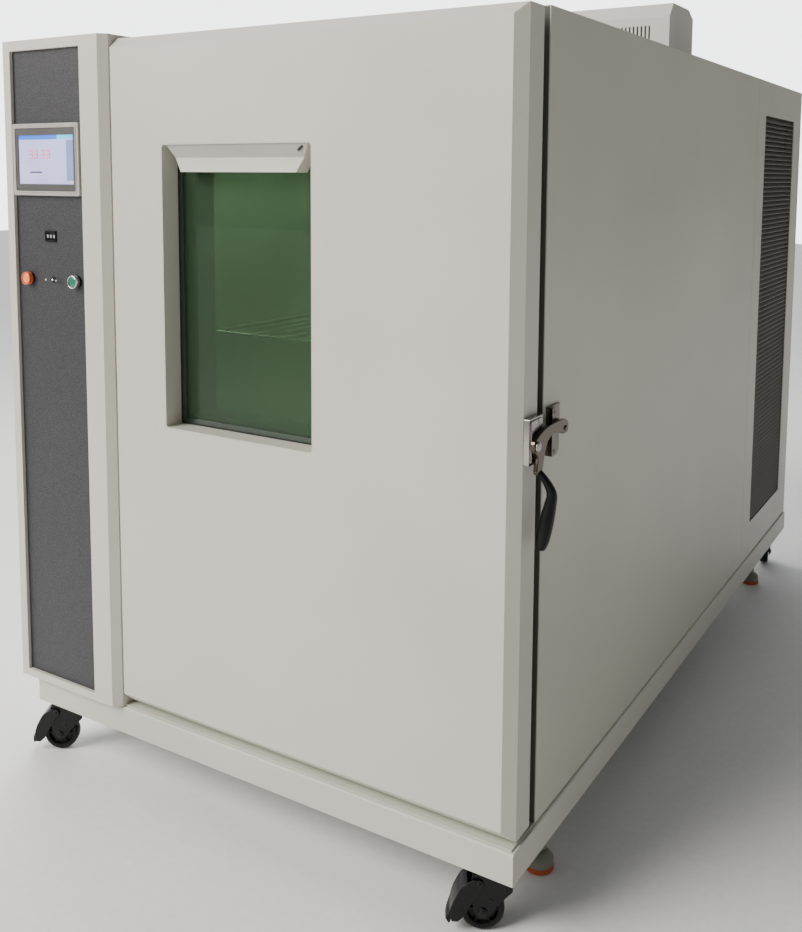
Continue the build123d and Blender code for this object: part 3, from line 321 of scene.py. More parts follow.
creamDoor = coated("creamDoor", (0.63, 0.60, 0.53))
# painted shade: the door's cream paint made darker for the side and rear panels, standing for the shade on
# those sides
creamPanelsPaintedShade = coated("creamPanelsPaintedShade", (0.56, 0.55, 0.46), rough=0.38)
creamBase = coated("creamBase", (0.58, 0.575, 0.50))
roofPaint = coated("roofPaint", (0.60, 0.58, 0.53))
# painted shade: the door's cream made darker for the visor's upper facet, standing for the shade that falls
# on it
visorPaintedShade = coated("visorPaintedShade", (0.43, 0.405, 0.365))
spacerDark = coated("spacerDark", (0.045, 0.055, 0.05), rough=0.5)
borderGreen = plastic("borderGreen", (0.022, 0.040, 0.028), 0.25, coat=0.5)
sealGrey = coated("sealGrey", (0.09, 0.088, 0.07), rough=0.6)
# painted shade: the panels' cream made dark grey on the louvres, standing for the shade between the slats
louvrePaintedShade = coated("louvrePaintedShade", (0.16, 0.15, 0.125), rough=0.5)
panelDark = hammered("panelDark", (0.026, 0.026, 0.030), (0.062, 0.061, 0.067))
linerSteel = metal("linerSteel", (0.62, 0.62, 0.60), 0.30, (1, 1, 60))
polished = metal("polishedSteel", (0.68, 0.66, 0.62), 0.20, (8, 8, 8), 30)
brushedPlate = metal("brushedPlate", (0.40, 0.375, 0.35), 0.26, (60, 1, 1))
zinc = metal("zincSteel", (0.50, 0.50, 0.48), 0.36, (3, 3, 3), 120)
finAlu = metal("finAluminium", (0.70, 0.71, 0.72), 0.34, (1, 1, 30))
bronze = metal("pivotBronze", (0.55, 0.40, 0.20), 0.35, (4, 4, 4), 80)
keeperSteel = metal("keeperSteel", (0.17, 0.15, 0.13), 0.26, (6, 6, 6), 90)
hookSteel = metal("hookSteel", (0.105, 0.085, 0.062), 0.18, (6, 6, 6), 40)
capGrey = coated("capGrey", (0.27, 0.28, 0.23), rough=0.45, grain=500)
blackMoulded = plastic("blackMoulded", (0.004, 0.004, 0.005), 0.34, shine=0.28)
gripBlack = plastic("gripBlack", (0.003, 0.003, 0.004), 0.34, shine=0.22)
wheelBlack = plastic("wheelBlack", (0.004, 0.004, 0.004), 0.45, shine=0.25)
ironBlack = plastic("ironBlack", (0.004, 0.004, 0.005), 0.36, grain=700, depth=0.0001, shine=0.3)
rubberBlack = plastic("rubberBlack", (0.012, 0.012, 0.012), 0.75, grain=500, depth=0.0001)
bezelGrey = plastic("bezelGrey", (0.42, 0.40, 0.37), 0.38, coat=0.1)
innerGrey = plastic("innerGrey", (0.085, 0.078, 0.076), 0.40)
bezelDark = plastic("bezelDark", (0.05, 0.05, 0.055), 0.35)
gearGrey = plastic("gearGrey", (0.32, 0.33, 0.34), 0.45)
ringWhite = plastic("ringWhite", (0.62, 0.62, 0.60), 0.35)
orangeRim = plastic("orangeRim", (0.74, 0.11, 0.035), 0.28, coat=0.5, glow=0.05)
ringBright = metal("ringBright", (0.82, 0.84, 0.83), 0.20, (2, 2, 2), 60)
orangeCap = plastic("orangeCap", (0.90, 0.26, 0.08), 0.30, coat=0.4, glow=0.2)
greenCap = plastic("greenCap", (0.0, 0.16, 0.10), 0.30, coat=0.4)
padOrange = plastic("padOrange", (0.60, 0.10, 0.03), 0.5)
foam = plastic("foam", (0.62, 0.55, 0.35), 0.8, grain=200, depth=0.0004)
paneGreen = clearGlass("paneGreen", (0.84, 0.93, 0.85), 1.0)
frontPane = clearGlass("frontPane", (0.26, 0.42, 0.25), 1.0, 0.90)
print("materials made")

nodeMats = {
    "base_frame": creamBase, "base_deck": creamBase, "mounting_plates": zinc, "side_panels": creamPanelsPaintedShade,
    "roof_panel": roofPaint, "front_frame": sealGrey, "insulation": foam, "chamber_liner": linerSteel,
    "air_baffle": linerSteel, "shelves": polished, "evaporator": finAlu, "air_heater": zinc,
    "blower_motor": ironBlack, "motor_cover": roofPaint, "column_fascia": creamDoor,
    "column_panel": panelDark, "operator_bezel": bezelGrey, "operator_screen": bezelDark,
    "limit_setter": blackMoulded, "switch_bodies": blackMoulded, "control_gear": gearGrey,
    "machine_side_panels": creamPanelsPaintedShade, "side_grilles": louvrePaintedShade, "rear_panel": creamPanelsPaintedShade,
    "cable_gland": blackMoulded, "compressors": ironBlack, "condenser": finAlu, "hinge_brackets": zinc,
    "latch_keeper": keeperSteel, "door_shell": creamDoor, "door_plug": linerSteel, "door_gasket": rubberBlack,
    "window_glass": paneGreen, "window_trim": creamDoor, "window_visor": creamDoor,
    "latch_body": brushedPlate, "hinge_bushes": bronze, "latch_lever": hookSteel, "latch_grip": gripBlack,
    "latch_roller": polished, "power_button": orangeCap, "start_button": greenCap,
    "lamp_switch": blackMoulded, "blower_wheel": finAlu, "condenser_fan_upper": blackMoulded,
    "condenser_fan_lower": blackMoulded,
}
stemMats = {"caster_fork": ironBlack, "caster_wheel": wheelBlack, "brake_pedal": blackMoulded,
            "levelling_foot": zinc}
for nodeName, obj in nodes.items():
    for stem, mat in stemMats.items():
        if nodeName.startswith(stem):
            nodeMats[nodeName] = mat
    obj.data.materials.clear()
    obj.data.materials.append(nodeMats[nodeName])
print("frame nodes dressed")

# casters: wheel, fork and pedal hood drawn about each swivel axis

casterNotes = {"axleZ": 41, "trail": 27, "headTop": 125.7, "cheekIn": 16, "cheekOut": 20, "hoodIn": 20.5,
               "hoodOut": 24.4, "reach": 93.8, "corner": 16, "spokes": 6, "spokeHalf": 10.5,
               "plate": (106, 112, 17), "rivets": ((-18, 100), (-14, 82), (14, 64)), "hoodPin": (34, 96),
               "ribs": 5, "turns": {"front_right": 210, "front_left": 210, "rear_right": 100,
                                    "rear_left": 100}}


def casterFrame(corner):
    c = jointAt("swivel_" + corner)
    a = math.radians(casterNotes["turns"][corner])
    return framePlane((c.x, c.y, 0), (math.cos(a), math.sin(a), 0), (0, 0, 1))


for corner in casterNotes["turns"]:
    home = casterFrame(corner)
    flat = home @ framePlane((0, 0, 0), (1, 0, 0), (0, -1, 0))  # u trails, v rises
    axleZ, trail = casterNotes["axleZ"] * mm, casterNotes["trail"] * mm
    across = home @ framePlane((trail, 0, axleZ), (1, 0, 0), (0, -1, 0))
    bm = bmesh.new()
    tyre = [(9, -13.5), (9, -10), (12, -7), (26, -7), (28.5, -13), (33, -14), (36.5, -13.4), (39, -11),
            (39.8, -7), (40, 0), (39.8, 7), (39, 11), (36.5, 13.4), (33, 14), (28.5, 13), (26, 7), (12, 7),
            (9, 10), (9, 13.5), (5.1, 13.5), (5.1, -13.5), (9, -13.5)]
    lathe(bm, inMm(tyre), across, 64)
    half = casterNotes["spokeHalf"] * mm
    for k in range(casterNotes["spokes"]):  # spokes stand proud of the web
        spoke = across @ Matrix.Rotation(k * 2 * math.pi / casterNotes["spokes"], 4, "Z")
        slab(bm, inMm([(10, -1.6), (28, -1.6), (28, 1.6), (10, 1.6)]), -half, half, spoke)
    piece("casterWheel_" + corner, bm, "caster_wheel_" + corner, wheelBlack,
          instead=["caster_wheel_" + corner])

    bm = bmesh.new()
    top = casterNotes["headTop"]
    head = [(0, top), (33, top), (35, top - 1.5), (35, top - 4.5), (33.6, top - 5.5), (33.6, top - 7),
            (35, top - 8), (35, top - 11), (32, top - 13.8), (0, top - 13.8)]
    lathe(bm, inMm(head), home, 48)
    cheek = [(-28, 112), (45, 112), (47.5, 106), (48, 90), (46, 58), (43, 42), (38, 32), (32, 28), (22, 28),
             (14, 33), (4, 48), (-12, 66), (-26, 80)]
    for side in (-1, 1):
        z0, z1 = sorted((side * casterNotes["cheekIn"] * mm, side * casterNotes["cheekOut"] * mm))
        slab(bm, inMm(cheek), z0, z1, flat)
        boss = home @ placeAt((trail, side * 19.8 * mm, axleZ), (0, side, 0))
        lathe(bm, inMm([(0, 4.2), (4.6, 4.2), (5.2, 3.4), (7.6, 3.2), (8, 2.6), (8, -1)]), boss,
              6 if side < 0 else 28)
        for u, v in casterNotes["rivets"]:
            rivet = home @ placeAt((u * mm, side * 19.8 * mm, v * mm), (0, side, 0))
            lathe(bm, inMm([(0, 1.8), (2.4, 1.3), (3.4, 0), (3.4, -0.5)]), rivet, 20)
    low, high, plateHalf = casterNotes["plate"]
    crown = [(-28, low), (46, low), (46, high), (-28, high)]
    slab(bm, inMm(crown), -plateHalf * mm, plateHalf * mm, flat)
    lathe(bm, inMm([(4.9, -19), (4.9, 19)]), home @ placeAt((trail, 0, axleZ), (0, 1, 0)), 20)
    piece("casterFork_" + corner, bm, "caster_fork_" + corner, ironBlack, soft=0.8 * mm,
          instead=["caster_fork_" + corner])

    if corner.startswith("front"):
        bm = bmesh.new()
        wide = casterNotes["hoodOut"] * mm
        apron = [(54, 96.5), (66, 88), (73, 76), (79, 64), (84, 50), (88, 36), (94, 23), (93.5, 20.6),
                 (88, 18.5), (85, 22), (81.5, 33), (76, 51), (71.5, 63), (67, 70), (61, 84)]
        slab(bm, inMm(apron), -wide + 3 * mm, wide - 3 * mm, flat)
        flank = [(28, 101), (33, 104), (44, 104), (55, 97), (66, 88), (73, 76), (79, 64), (84, 50),
                 (84.5, 36), (83, 24), (72, 24), (62, 33), (54, 46), (46, 62), (36, 76), (28, 86), (25, 94)]
        for side in (-1, 1):
            z0, z1 = sorted((side * casterNotes["hoodIn"] * mm, side * wide))
            slab(bm, inMm(flank), z0, z1, flat)
            pinU, pinV = casterNotes["hoodPin"]
            pinHead = home @ placeAt((pinU * mm, side * wide, pinV * mm), (0, side, 0))
            lathe(bm, inMm([(0, 1.6), (2.6, 1.4), (3.8, 0), (3.8, -1)]), pinHead, 24)
        slab(bm, inMm([(31, 94.5), (37, 94.5), (37, 98), (31, 98)]), -wide + 0.5 * mm, wide - 0.5 * mm, flat)
        for k in range(casterNotes["ribs"]):  # grip ribs across the tread
            u, v = 86.2 + 1.71 * k, 40.2 - 4.3 * k
            rib = [(u - 2, v - 1.2), (u + 1.1, v - 0.6), (u + 1.1, v + 1.0), (u - 2, v + 1.4)]
            slab(bm, inMm(rib), -wide + 5 * mm, wide - 5 * mm, flat)
        for vert in bm.verts:  # the tread's corners are rounded off
            at = flat.inverted() @ vert.co
            past = min(at.x / mm, casterNotes["reach"]) - (casterNotes["reach"] - casterNotes["corner"])
            if past > 0:
                curve = math.sqrt(casterNotes["corner"] ** 2 - past ** 2)
                room = casterNotes["hoodOut"] - casterNotes["corner"] + curve
                at.x = min(at.x, casterNotes["reach"] * mm)
                at.z = max(-room * mm, min(room * mm, at.z))
                vert.co = flat @ at
        piece("brakePedal_" + corner, bm, "brake_pedal_" + corner, blackMoulded, soft=1.0 * mm,
              instead=["brake_pedal_" + corner])
print("casters")


# levelling feet: orange pad, domed grey cap, hexagon and threaded spindle

footNotes = {"pad": 10, "capTop": 36, "disc": 29, "threadTop": 158, "pitch": 2.0, "tip": 162}
for corner in casterNotes["turns"]:
    lo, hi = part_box("levelling_foot_" + corner)
    c = (lo + hi) / 2
    base = Matrix.Translation((c.x, c.y, 0))
    pad, capTop = footNotes["pad"], footNotes["capTop"]
    bm = bmesh.new()
    disc = footNotes["disc"]
    lathe(bm, inMm([(0, 0), (disc - 1.5, 0), (disc, 1.5), (disc, pad - 1.5), (disc - 1, pad), (0, pad)]),
          base, 56)
    piece("footPad_" + corner, bm, "levelling_foot_" + corner, padOrange)
    bm = bmesh.new()
    dome = [(0, pad + 0.05), (27.6, pad + 0.05), (28, pad + 1), (28, pad + 12), (27, pad + 15),
            (24, pad + 19), (19, pad + 23), (15, capTop - 1), (13, capTop), (0, capTop)]
    lathe(bm, inMm(dome), base, 56)
    nut = [(0, capTop + 3.9), (13, capTop + 3.9), (14, capTop + 5), (14, capTop + 13), (13, capTop + 14.1),
           (0, capTop + 14.1)]
    lathe(bm, inMm(nut), base, 6)
    thread = [(7.2, capTop - 1)]
    z = capTop
    while z < footNotes["threadTop"]:
        thread += [(8.0, z + 0.9), (7.1, z + 1.8)]
        z += footNotes["pitch"]
    thread += [(6.4, footNotes["tip"] - 0.5), (0, footNotes["tip"])]
    lathe(bm, inMm(thread), base, 28)
    piece("footDisc_" + corner, bm, "levelling_foot_" + corner, capGrey,
          instead=["levelling_foot_" + corner])
print("feet")


# latch on the door's right edge

latchNotes = {"halfLever": 4, "play": 1, "height": 80, "lip": 2.5, "lipIn": 9, "lipDown": 8, "screwUp": 30,
              "screwAside": 6, "keeperPlate": 4, "camBack": 8.6, "camSteps": 12, "keeperScrew": (9, 8)}
pivot = jointAt("latch_turn")
rollerC = jointAt("roller_spin")
bodyLo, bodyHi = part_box("latch_body")
keepLo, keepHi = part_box("latch_keeper")
leverInner = pivot.x - latchNotes["halfLever"] * mm
leverOuter = pivot.x + latchNotes["halfLever"] * mm
latchYZ = framePlane((0, pivot.y, pivot.z), (0, 1, 0), (1, 0, 0))

bm = bmesh.new()
bodyW = bodyHi.y - bodyLo.y
bodyY, bodyZ = (bodyLo.y + bodyHi.y) / 2, (bodyLo.z + bodyHi.z) / 2
plate = framePlane((bodyLo.x, bodyY, bodyZ), (0, 1, 0), (1, 0, 0))
bodyDeep = leverInner - latchNotes["play"] * mm - bodyLo.x
lipW = bodyW - latchNotes["lipIn"] * mm
lipH = (latchNotes["height"] - latchNotes["lipDown"]) * mm
slab(bm, roundedRect(bodyW, latchNotes["height"] * mm, 2 * mm, 3), 0, bodyDeep - latchNotes["lip"] * mm,
     plate)
slab(bm, roundedRect(lipW, lipH, 3 * mm, 3), bodyDeep - latchNotes["lip"] * mm - 0.5 * mm, bodyDeep, plate)
for side in (-1, 1):
    up = side * latchNotes["screwUp"] * mm
    spot = placeAt((bodyLo.x + bodyDeep, bodyY + latchNotes["screwAside"] * mm, bodyZ + up), (1, 0, 0))
    lathe(bm, inMm([(0, 0.2), (2.2, 0.2), (2.4, 0.7), (3.6, 0.6), (4.2, 0)]), spot, 24)
pin = placeAt(pivot, (1, 0, 0))
pinTurn = [(5.9, -6), (5.9, 4.2), (8.8, 4.3), (9, 5.2), (9, 6.6), (8.2, 7.4), (6.4, 7.8), (6.2, 8), (0, 8)]
lathe(bm, inMm(pinTurn), pin, 36)
piece("latchPlate", bm, "door", brushedPlate, soft=0.9 * mm, instead=["latch_body"])

# the lever's outline, a curve through a few points of its plan
hookOutline = [(-11.6, 5), (-9, 10), (-3, 13), (8, 17.6), (20, 21.6), (34, 24.8), (48, 26.4), (64, 27),
               (84, 27), (102, 26.7), (116, 25), (125, 21.5), (130.5, 16), (132, 9.5), (130.5, 3.5), (127, 0),
               (120, -1), (110, -0.6), (104, 2.2), (96, 5.2), (80, 7.4), (64, 7.6), (52, 5.2), (44, 1.2),
               (37.5, -6), (33, -14.5), (29, -26), (24.6, -40), (22, -46.5), (16, -50), (8, -51.6),
               (2.4, -48.6), (0.4, -44), (2.6, -34), (5.6, -22.6), (0, -15.6), (-6.4, -10.6), (-10.4, -4)]
bm = bmesh.new()
slab(bm, inMm(hookOutline), leverInner, leverOuter, latchYZ)
boss = placeAt((leverOuter, rollerC.y, rollerC.z), (1, 0, 0))
lathe(bm, inMm([(0, 2.6), (3.4, 2.6), (5, 1.4), (5.2, 0), (5.2, -0.5)]), boss, 28)
stub = placeAt((leverInner, rollerC.y, rollerC.z), (-1, 0, 0))
lathe(bm, inMm([(2.95, -1), (2.95, 9.2), (0, 9.2)]), stub, 20)
piece("latchHook", bm, "latch_lever", hookSteel, soft=1.8 * mm,
      instead=["latch_lever"])

bm = bmesh.new()
roll = [(3.1, -4.2), (7.2, -4.2), (8, -3.4), (8, 3.4), (7.2, 4.2), (3.1, 4.2), (3.1, -4.2)]
lathe(bm, inMm(roll), placeAt(rollerC, (1, 0, 0)), 36)
piece("latchRoller", bm, "latch_roller", polished, instead=["latch_roller"])

# moulded grip: bent at its upper third, stations eased between a few measured ones

gripNotes = {"stations": 34, "sides": 28, "square": 0.85, "last": 0.99999,
             "endRings": ((0.82, 1.6), (0.5, 2.6)), "table": ((0.00, -43, 17.5, 15, 4.6, 5.6),
                                                              (0.12, -55, 25, 19, 6.5, 7.5),
                                                              (0.26, -72, 34, 24, 7.8, 9.0),
                                                              (0.36, -86, 38, 26.5, 8.6, 9.6),
                                                              (0.50, -104, 36, 25, 10.4, 11.0),
                                                              (0.70, -134, 31, 21, 12.6, 12.6),
                                                              (0.90, -164, 26, 18.5, 12.0, 12.0),
                                                              (1.00, -180, 23.5, 17.5, 8.5, 8.5))}


def eased(t):
    rows = gripNotes["table"]
    k = max(i for i in range(len(rows) - 1) if rows[i][0] <= t)
    a, b = rows[k], rows[k + 1]
    before = rows[k - 1] if k else a
    after = rows[k + 2] if k + 2 < len(rows) else b
    w = (t - a[0]) / (b[0] - a[0])
    out = []
    for c in range(1, 6):
        m0 = (b[c] - before[c]) / 2 if k else b[c] - a[c]
        m1 = (after[c] - a[c]) / 2 if k + 2 < len(rows) else b[c] - a[c]
        ends = (2 * w ** 3 - 3 * w ** 2 + 1) * a[c] + (3 * w ** 2 - 2 * w ** 3) * b[c]
        slopes = (w ** 3 - 2 * w ** 2 + w) * m0 + (w ** 3 - w ** 2) * m1
        out.append(ends + slopes)
    return out


bm = bmesh.new()
gripRings = []
for k in range(gripNotes["stations"] + 1):
    t = k / gripNotes["stations"]
    v, x, y, rx, ry = [q * mm for q in eased(min(t, gripNotes["last"]))]
    ring = []
    for i in range(gripNotes["sides"]):
        a = 2 * math.pi * i / gripNotes["sides"]
        ca, sa = math.cos(a), math.sin(a)
        across = rx * math.copysign(abs(ca) ** gripNotes["square"], ca)
        back = ry * math.copysign(abs(sa) ** gripNotes["square"], sa)
        ring.append(bm.verts.new((bodyLo.x + x + across, pivot.y + y + back, pivot.z + v)))
    gripRings.append(ring)
v, x, y = [q * mm for q in eased(gripNotes["last"])[:3]]
middle = Vector((bodyLo.x + x, pivot.y + y, pivot.z + v))
for grow, drop in gripNotes["endRings"]:
    down = Vector((0, 0, drop * mm))
    ring = gripRings[gripNotes["stations"]]
    gripRings.append([bm.verts.new(middle + (vert.co - middle) * grow - down) for vert in ring])
for a, b in zip(gripRings, gripRings[1:]):
    for i in range(gripNotes["sides"]):
        j = (i + 1) % gripNotes["sides"]
        bm.faces.new((a[i], a[j], b[j], b[i]))
bm.faces.new(gripRings[0])
bm.faces.new(list(reversed(gripRings[-1])))
piece("latchGrip", bm, "latch_lever", gripBlack, sharp=50, instead=["latch_grip"])

# keeper: base plate with the cam block, whose edge follows the roller's path
bm = bmesh.new()
camRadius = (rollerC - pivot).yz.length - latchNotes["camBack"] * mm
keepPlate = latchNotes["keeperPlate"] * mm
left = keepLo.y - pivot.y
right = keepHi.y - pivot.y
zLo, zHi = keepLo.z - pivot.z, keepHi.z - pivot.z
slab(bm, [(left, zLo), (right, zLo), (right, zHi), (left, zHi)], keepLo.x, keepLo.x + keepPlate, latchYZ)
heights = [zLo + (zHi - zLo) * k / latchNotes["camSteps"] for k in range(latchNotes["camSteps"] + 1)]
arc = [(math.sqrt(camRadius ** 2 - v * v), v) for v in heights]
slab(bm, [(left, zLo)] + arc + [(left, zHi)], keepLo.x + keepPlate - 0.3 * mm, keepHi.x, latchYZ)
screwIn, screwEnd = (q * mm for q in latchNotes["keeperScrew"])
for v in (zHi - screwEnd, zLo + screwEnd):
    spot = placeAt((keepHi.x, pivot.y + left + screwIn, pivot.z + v), (1, 0, 0))
    lathe(bm, inMm([(0, 0.2), (2, 0.2), (2.2, 0.8), (3.6, 0.8), (4, 0)]), spot, 24)
piece("latchKeeper", bm, "cabinet", keeperSteel, soft=1.0 * mm,
      instead=["latch_keeper"])
print("latch")


# operator panel: stepped frame and lit screen

opLo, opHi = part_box("operator_bezel")
scLo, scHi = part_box("operator_screen")
face = framePlane(((opLo.x + opHi.x) / 2, opLo.y, (opLo.z + opHi.z) / 2), (1, 0, 0), (0, -1, 0))
opW, opH = opHi.x - opLo.x, opHi.z - opLo.z
scW, scH = scHi.x - scLo.x, scHi.z - scLo.z
bm = bmesh.new()
frameRing(bm, opW, opH, (0, 5), (14, 4), (-11.5, -1.2), face)
frameRing(bm, opW, opH, (13, 4), (20, 3), (-9, 0), face)
piece("operatorFrame", bm, "cabinet", bezelGrey, soft=1.1 * mm,
      instead=["operator_bezel"])
bm = bmesh.new()
outerLoop = roundedRect(opW - 20.5 * mm, opH - 20.5 * mm, 3 * mm)
ringSlab(bm, outerLoop, roundedRect(scW - 3 * mm, scH - 3 * mm, 1 * mm), -6 * mm, -2 * mm, face)
piece("operatorInnerFrame", bm, "cabinet", innerGrey, soft=0.8 * mm)


def screenGlow(name, colour, strength, change=0.1):
    mat, tree, shader, vec = startMat(name)
    fac = noise(tree, vec, 9, 2)
    tone = ramp(tree, fac, [(0.3, scaled(colour, 1 - change)), (0.7, scaled(colour, 1 + change))])
    tree.links.new(tone, shader.inputs["Base Color"])
    tree.links.new(tone, shader.inputs["Emission Color"])
    shader.inputs["Emission Strength"].default_value = strength
    roughRange(tree, shader, fac, 0.15, 0.22)
    return mat


lavender = screenGlow("screenLavender", (0.46, 0.47, 0.80), 0.75)
titleBlue = screenGlow("screenTitle", (0.05, 0.16, 0.72), 0.9)
titleCyan = screenGlow("screenCyan", (0.10, 0.55, 0.85), 0.9)
sideStrip = screenGlow("screenStrip", (0.22, 0.27, 0.48), 0.6)
redMark = screenGlow("screenRed", (0.85, 0.10, 0.14), 0.9)
inkMark = screenGlow("screenInk", (0.05, 0.06, 0.10), 0.2)

screenNotes = {"back": -4.2, "layer": 0.05, "strokes": 4, "strokeFrom": 0.20, "strokePitch": 0.095,
               "gap": 0.03}


def screenPatch(bm, u0, v0, u1, v1, level):
    out = (screenNotes["back"] + screenNotes["layer"] * level) * mm
    pts = [(u0, v0), (u1, v0), (u1, v1), (u0, v1)]
    bm.faces.new([bm.verts.new(face @ Vector(((u - 0.5) * scW, (v - 0.5) * scH, out))) for u, v in pts])


screenParts = {
    "screenField": (lavender, [(0.008, 0.01, 0.992, 0.99)], 0),
    "screenTitleBar": (titleBlue, [(0.012, 0.90, 0.70, 0.985)], 1),
    "screenTitleEnd": (titleCyan, [(0.70, 0.90, 0.985, 0.985)], 1),
    "screenSideStrip": (sideStrip, [(0.86, 0.08, 0.985, 0.88)], 1),
    "screenNote": (inkMark, [(0.20, 0.235, 0.42, 0.262)], 1),
}
for name, (mat, patches, level) in screenParts.items():
    bm = bmesh.new()
    for p in patches:
        screenPatch(bm, *p, level)
    piece(name, bm, "cabinet", mat)
bm = bmesh.new()
for k in range(screenNotes["strokes"]):  # bare strokes where the reading stands
    u = screenNotes["strokeFrom"] + screenNotes["strokePitch"] * k + (screenNotes["gap"] if k > 1 else 0)
    for v in (0.52, 0.595, 0.67):
        screenPatch(bm, u, v, u + 0.06, v + 0.018, 2)
    screenPatch(bm, u + 0.05, 0.53, u + 0.062, 0.68, 2)
piece("screenReading", bm, "cabinet", redMark)
bm = bmesh.new()
slab(bm, roundedRect(scW, scH, 1 * mm, 2), -8 * mm, -4.3 * mm, face)
piece("screenBack", bm, "cabinet", bezelDark, instead=["operator_screen"])
print("operator panel")


# buttons, lever switch and limit setter

controlNotes = {"capRadius": 11.5, "collarIn": 11.8, "collarOut": 15, "stem": (7.2, 10.8), "stemDeep": 38,
                "block": (15, 20, 56), "dotAside": 26, "leverTilt": 68, "setterPitch": 10, "setterKeys": 5.8}
for name, node, cap in (("powerCap", "power_button", orangeCap), ("startCap", "start_button", greenCap)):
    lo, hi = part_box(node)
    spot = placeAt(((lo.x + hi.x) / 2, lo.y, (lo.z + hi.z) / 2), (0, -1, 0))
    bm = bmesh.new()
    rim = controlNotes["capRadius"]
    dome = [(0, 0), (4, -0.1), (8, -0.35), (10.2, -0.9), (11.2, -1.8), (rim, -3), (rim, -5.2), (7, -5.3),
            (6, -6), (6, -27), (0, -27)]
    lathe(bm, inMm(dome), spot, 48)
    piece(name, bm, node, cap, instead=[node])

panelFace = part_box("column_panel")[0].y
collarTall = (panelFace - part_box("switch_bodies")[0].y) / mm
bore, rimOut = controlNotes["collarIn"], controlNotes["collarOut"]
stemIn, stemOut = controlNotes["stem"]
stemDeep = controlNotes["stemDeep"]
blockW, blockH, blockDeep = (q * mm for q in controlNotes["block"])
bm = bmesh.new()
for name, node, rim in (("powerRim", "power_button", orangeRim), ("startRim", "start_button", ringBright)):
    lo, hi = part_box(node)
    cx, cz = (lo.x + hi.x) / 2, (lo.z + hi.z) / 2
    spot = placeAt((cx, panelFace, cz), (0, -1, 0))
    collar = [(bore, -1), (rimOut, 0.1), (rimOut, 3.2), (14.4, 4.2), (bore, 4.2), (bore, -1)]
    lathe(bm, inMm(collar), spot, 48)
    stem = [(stemOut, -stemDeep), (stemOut, -0.1), (stemIn, -0.1), (stemIn, -stemDeep), (stemOut, -stemDeep)]
    lathe(bm, inMm(stem), spot, 24)
    boxAt(bm, (cx - blockW, panelFace + stemDeep * mm, cz - blockH),
          (cx + blockW, panelFace + blockDeep, cz + blockH))
    rimBm = bmesh.new()
    rimTurn = [(bore, 4.1), (14.2, 4.1), (14.5, 5), (14.4, collarTall - 1.6), (13.9, collarTall - 0.4),
               (12.9, collarTall), (12.2, collarTall - 0.3), (bore, collarTall - 1), (bore, 4.1)]
    lathe(rimBm, inMm(rimTurn), spot, 56)
    piece(name, rimBm, "cabinet", rim)
switchAt = jointAt("lamp_rock")
nutAt = placeAt((switchAt.x, panelFace, switchAt.z), (0, -1, 0))
lathe(bm, inMm([(4.1, -20), (4.1, 1.2), (6.4, 1.2), (7.6, 0.4), (8, 0), (8, -1), (6, -1), (6, -20),
                (4.1, -20)]), nutAt, 6)
lathe(bm, inMm([(4.05, -1), (4.05, 2), (5.6, 2), (5.8, 1.6), (5.8, -1), (4.05, -1)]), nutAt, 32)
piece("switchCollars", bm, "cabinet", blackMoulded, soft=0.3 * mm,
      instead=["switch_bodies"])
bm = bmesh.new()
dotAt = placeAt((switchAt.x - controlNotes["dotAside"] * mm, panelFace, switchAt.z - 1 * mm), (0, -1, 0))
lathe(bm, inMm([(0, 0.5), (1.8, 0.45), (2.3, 0.1), (2.3, -0.3), (0, -0.3)]), dotAt, 24)
piece("pilotDot", bm, "cabinet", ringWhite)

bm = bmesh.new()
tilt = math.radians(controlNotes["leverTilt"])
stick = placeAt(switchAt, (math.sin(tilt), -math.cos(tilt), 0))
stickTurn = [(0, -3.4), (2.0, -2.8), (3.1, -1.5), (3.4, 0), (3.0, 1.6), (1.9, 2.6), (1.45, 4), (1.6, 12),
             (2.1, 18), (2.4, 21.5), (2.1, 22.9), (1.2, 23), (0, 23)]
lathe(bm, inMm(stickTurn), stick, 28)
piece("lampLever", bm, "lamp_switch", polished, instead=["lamp_switch"])

setLo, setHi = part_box("limit_setter")
setFace = framePlane(((setLo.x + setHi.x) / 2, panelFace, (setLo.z + setHi.z) / 2), (1, 0, 0), (0, -1, 0))
bm = bmesh.new()
setRim = roundedRect(setHi.x - setLo.x, setHi.z - setLo.z, 1.5 * mm)
pitch, keyUp = controlNotes["setterPitch"] * mm, controlNotes["setterKeys"] * mm
ringSlab(bm, setRim, roundedRect(30 * mm, 17 * mm, 0.8 * mm), -0.5 * mm, 3 * mm, setFace)
slab(bm, roundedRect(31 * mm, 16 * mm, 0.5 * mm, 2), -30 * mm, 0.8 * mm, setFace)
for k in (-1, 0, 1):
    for up in (keyUp, -keyUp):
        keyLoop = [(x + k * pitch, y + up) for x, y in roundedRect(6 * mm, 2.4 * mm, 0.6 * mm, 2)]
        slab(bm, keyLoop, 0.8 * mm, 2.6 * mm, setFace)
piece("setterBlock", bm, "cabinet", blackMoulded, soft=0.3 * mm,
      instead=["limit_setter"])
bm = bmesh.new()
for k in (-1, 0, 1):
    wheelLoop = [(x + k * pitch, y) for x, y in roundedRect(5.4 * mm, 7 * mm, 0.6 * mm, 2)]
    slab(bm, wheelLoop, 0.7 * mm, 1.3 * mm, setFace)
piece("setterWheels", bm, "cabinet", gearGrey)
print("controls")


# window: seal round the pane, folded visor with its end slot

paneLo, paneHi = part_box("window_glass")
winFace = framePlane(((paneLo.x + paneHi.x) / 2, paneLo.y, (paneLo.z + paneHi.z) / 2), (1, 0, 0), (0, -1, 0))
pw, ph = paneHi.x - paneLo.x, paneHi.z - paneLo.z
bm = bmesh.new()
frameRing(bm, pw, ph, (1, 2), (7, 1), (0.2, 4.0), winFace)
piece("windowSeal", bm, "door", rubberBlack, soft=0.6 * mm)
bm = bmesh.new()
frameRing(bm, pw, ph, (6, 1), (26, 1), (0.2, 2.6), winFace)
piece("paneBorder", bm, "door", borderGreen, soft=0.4 * mm)

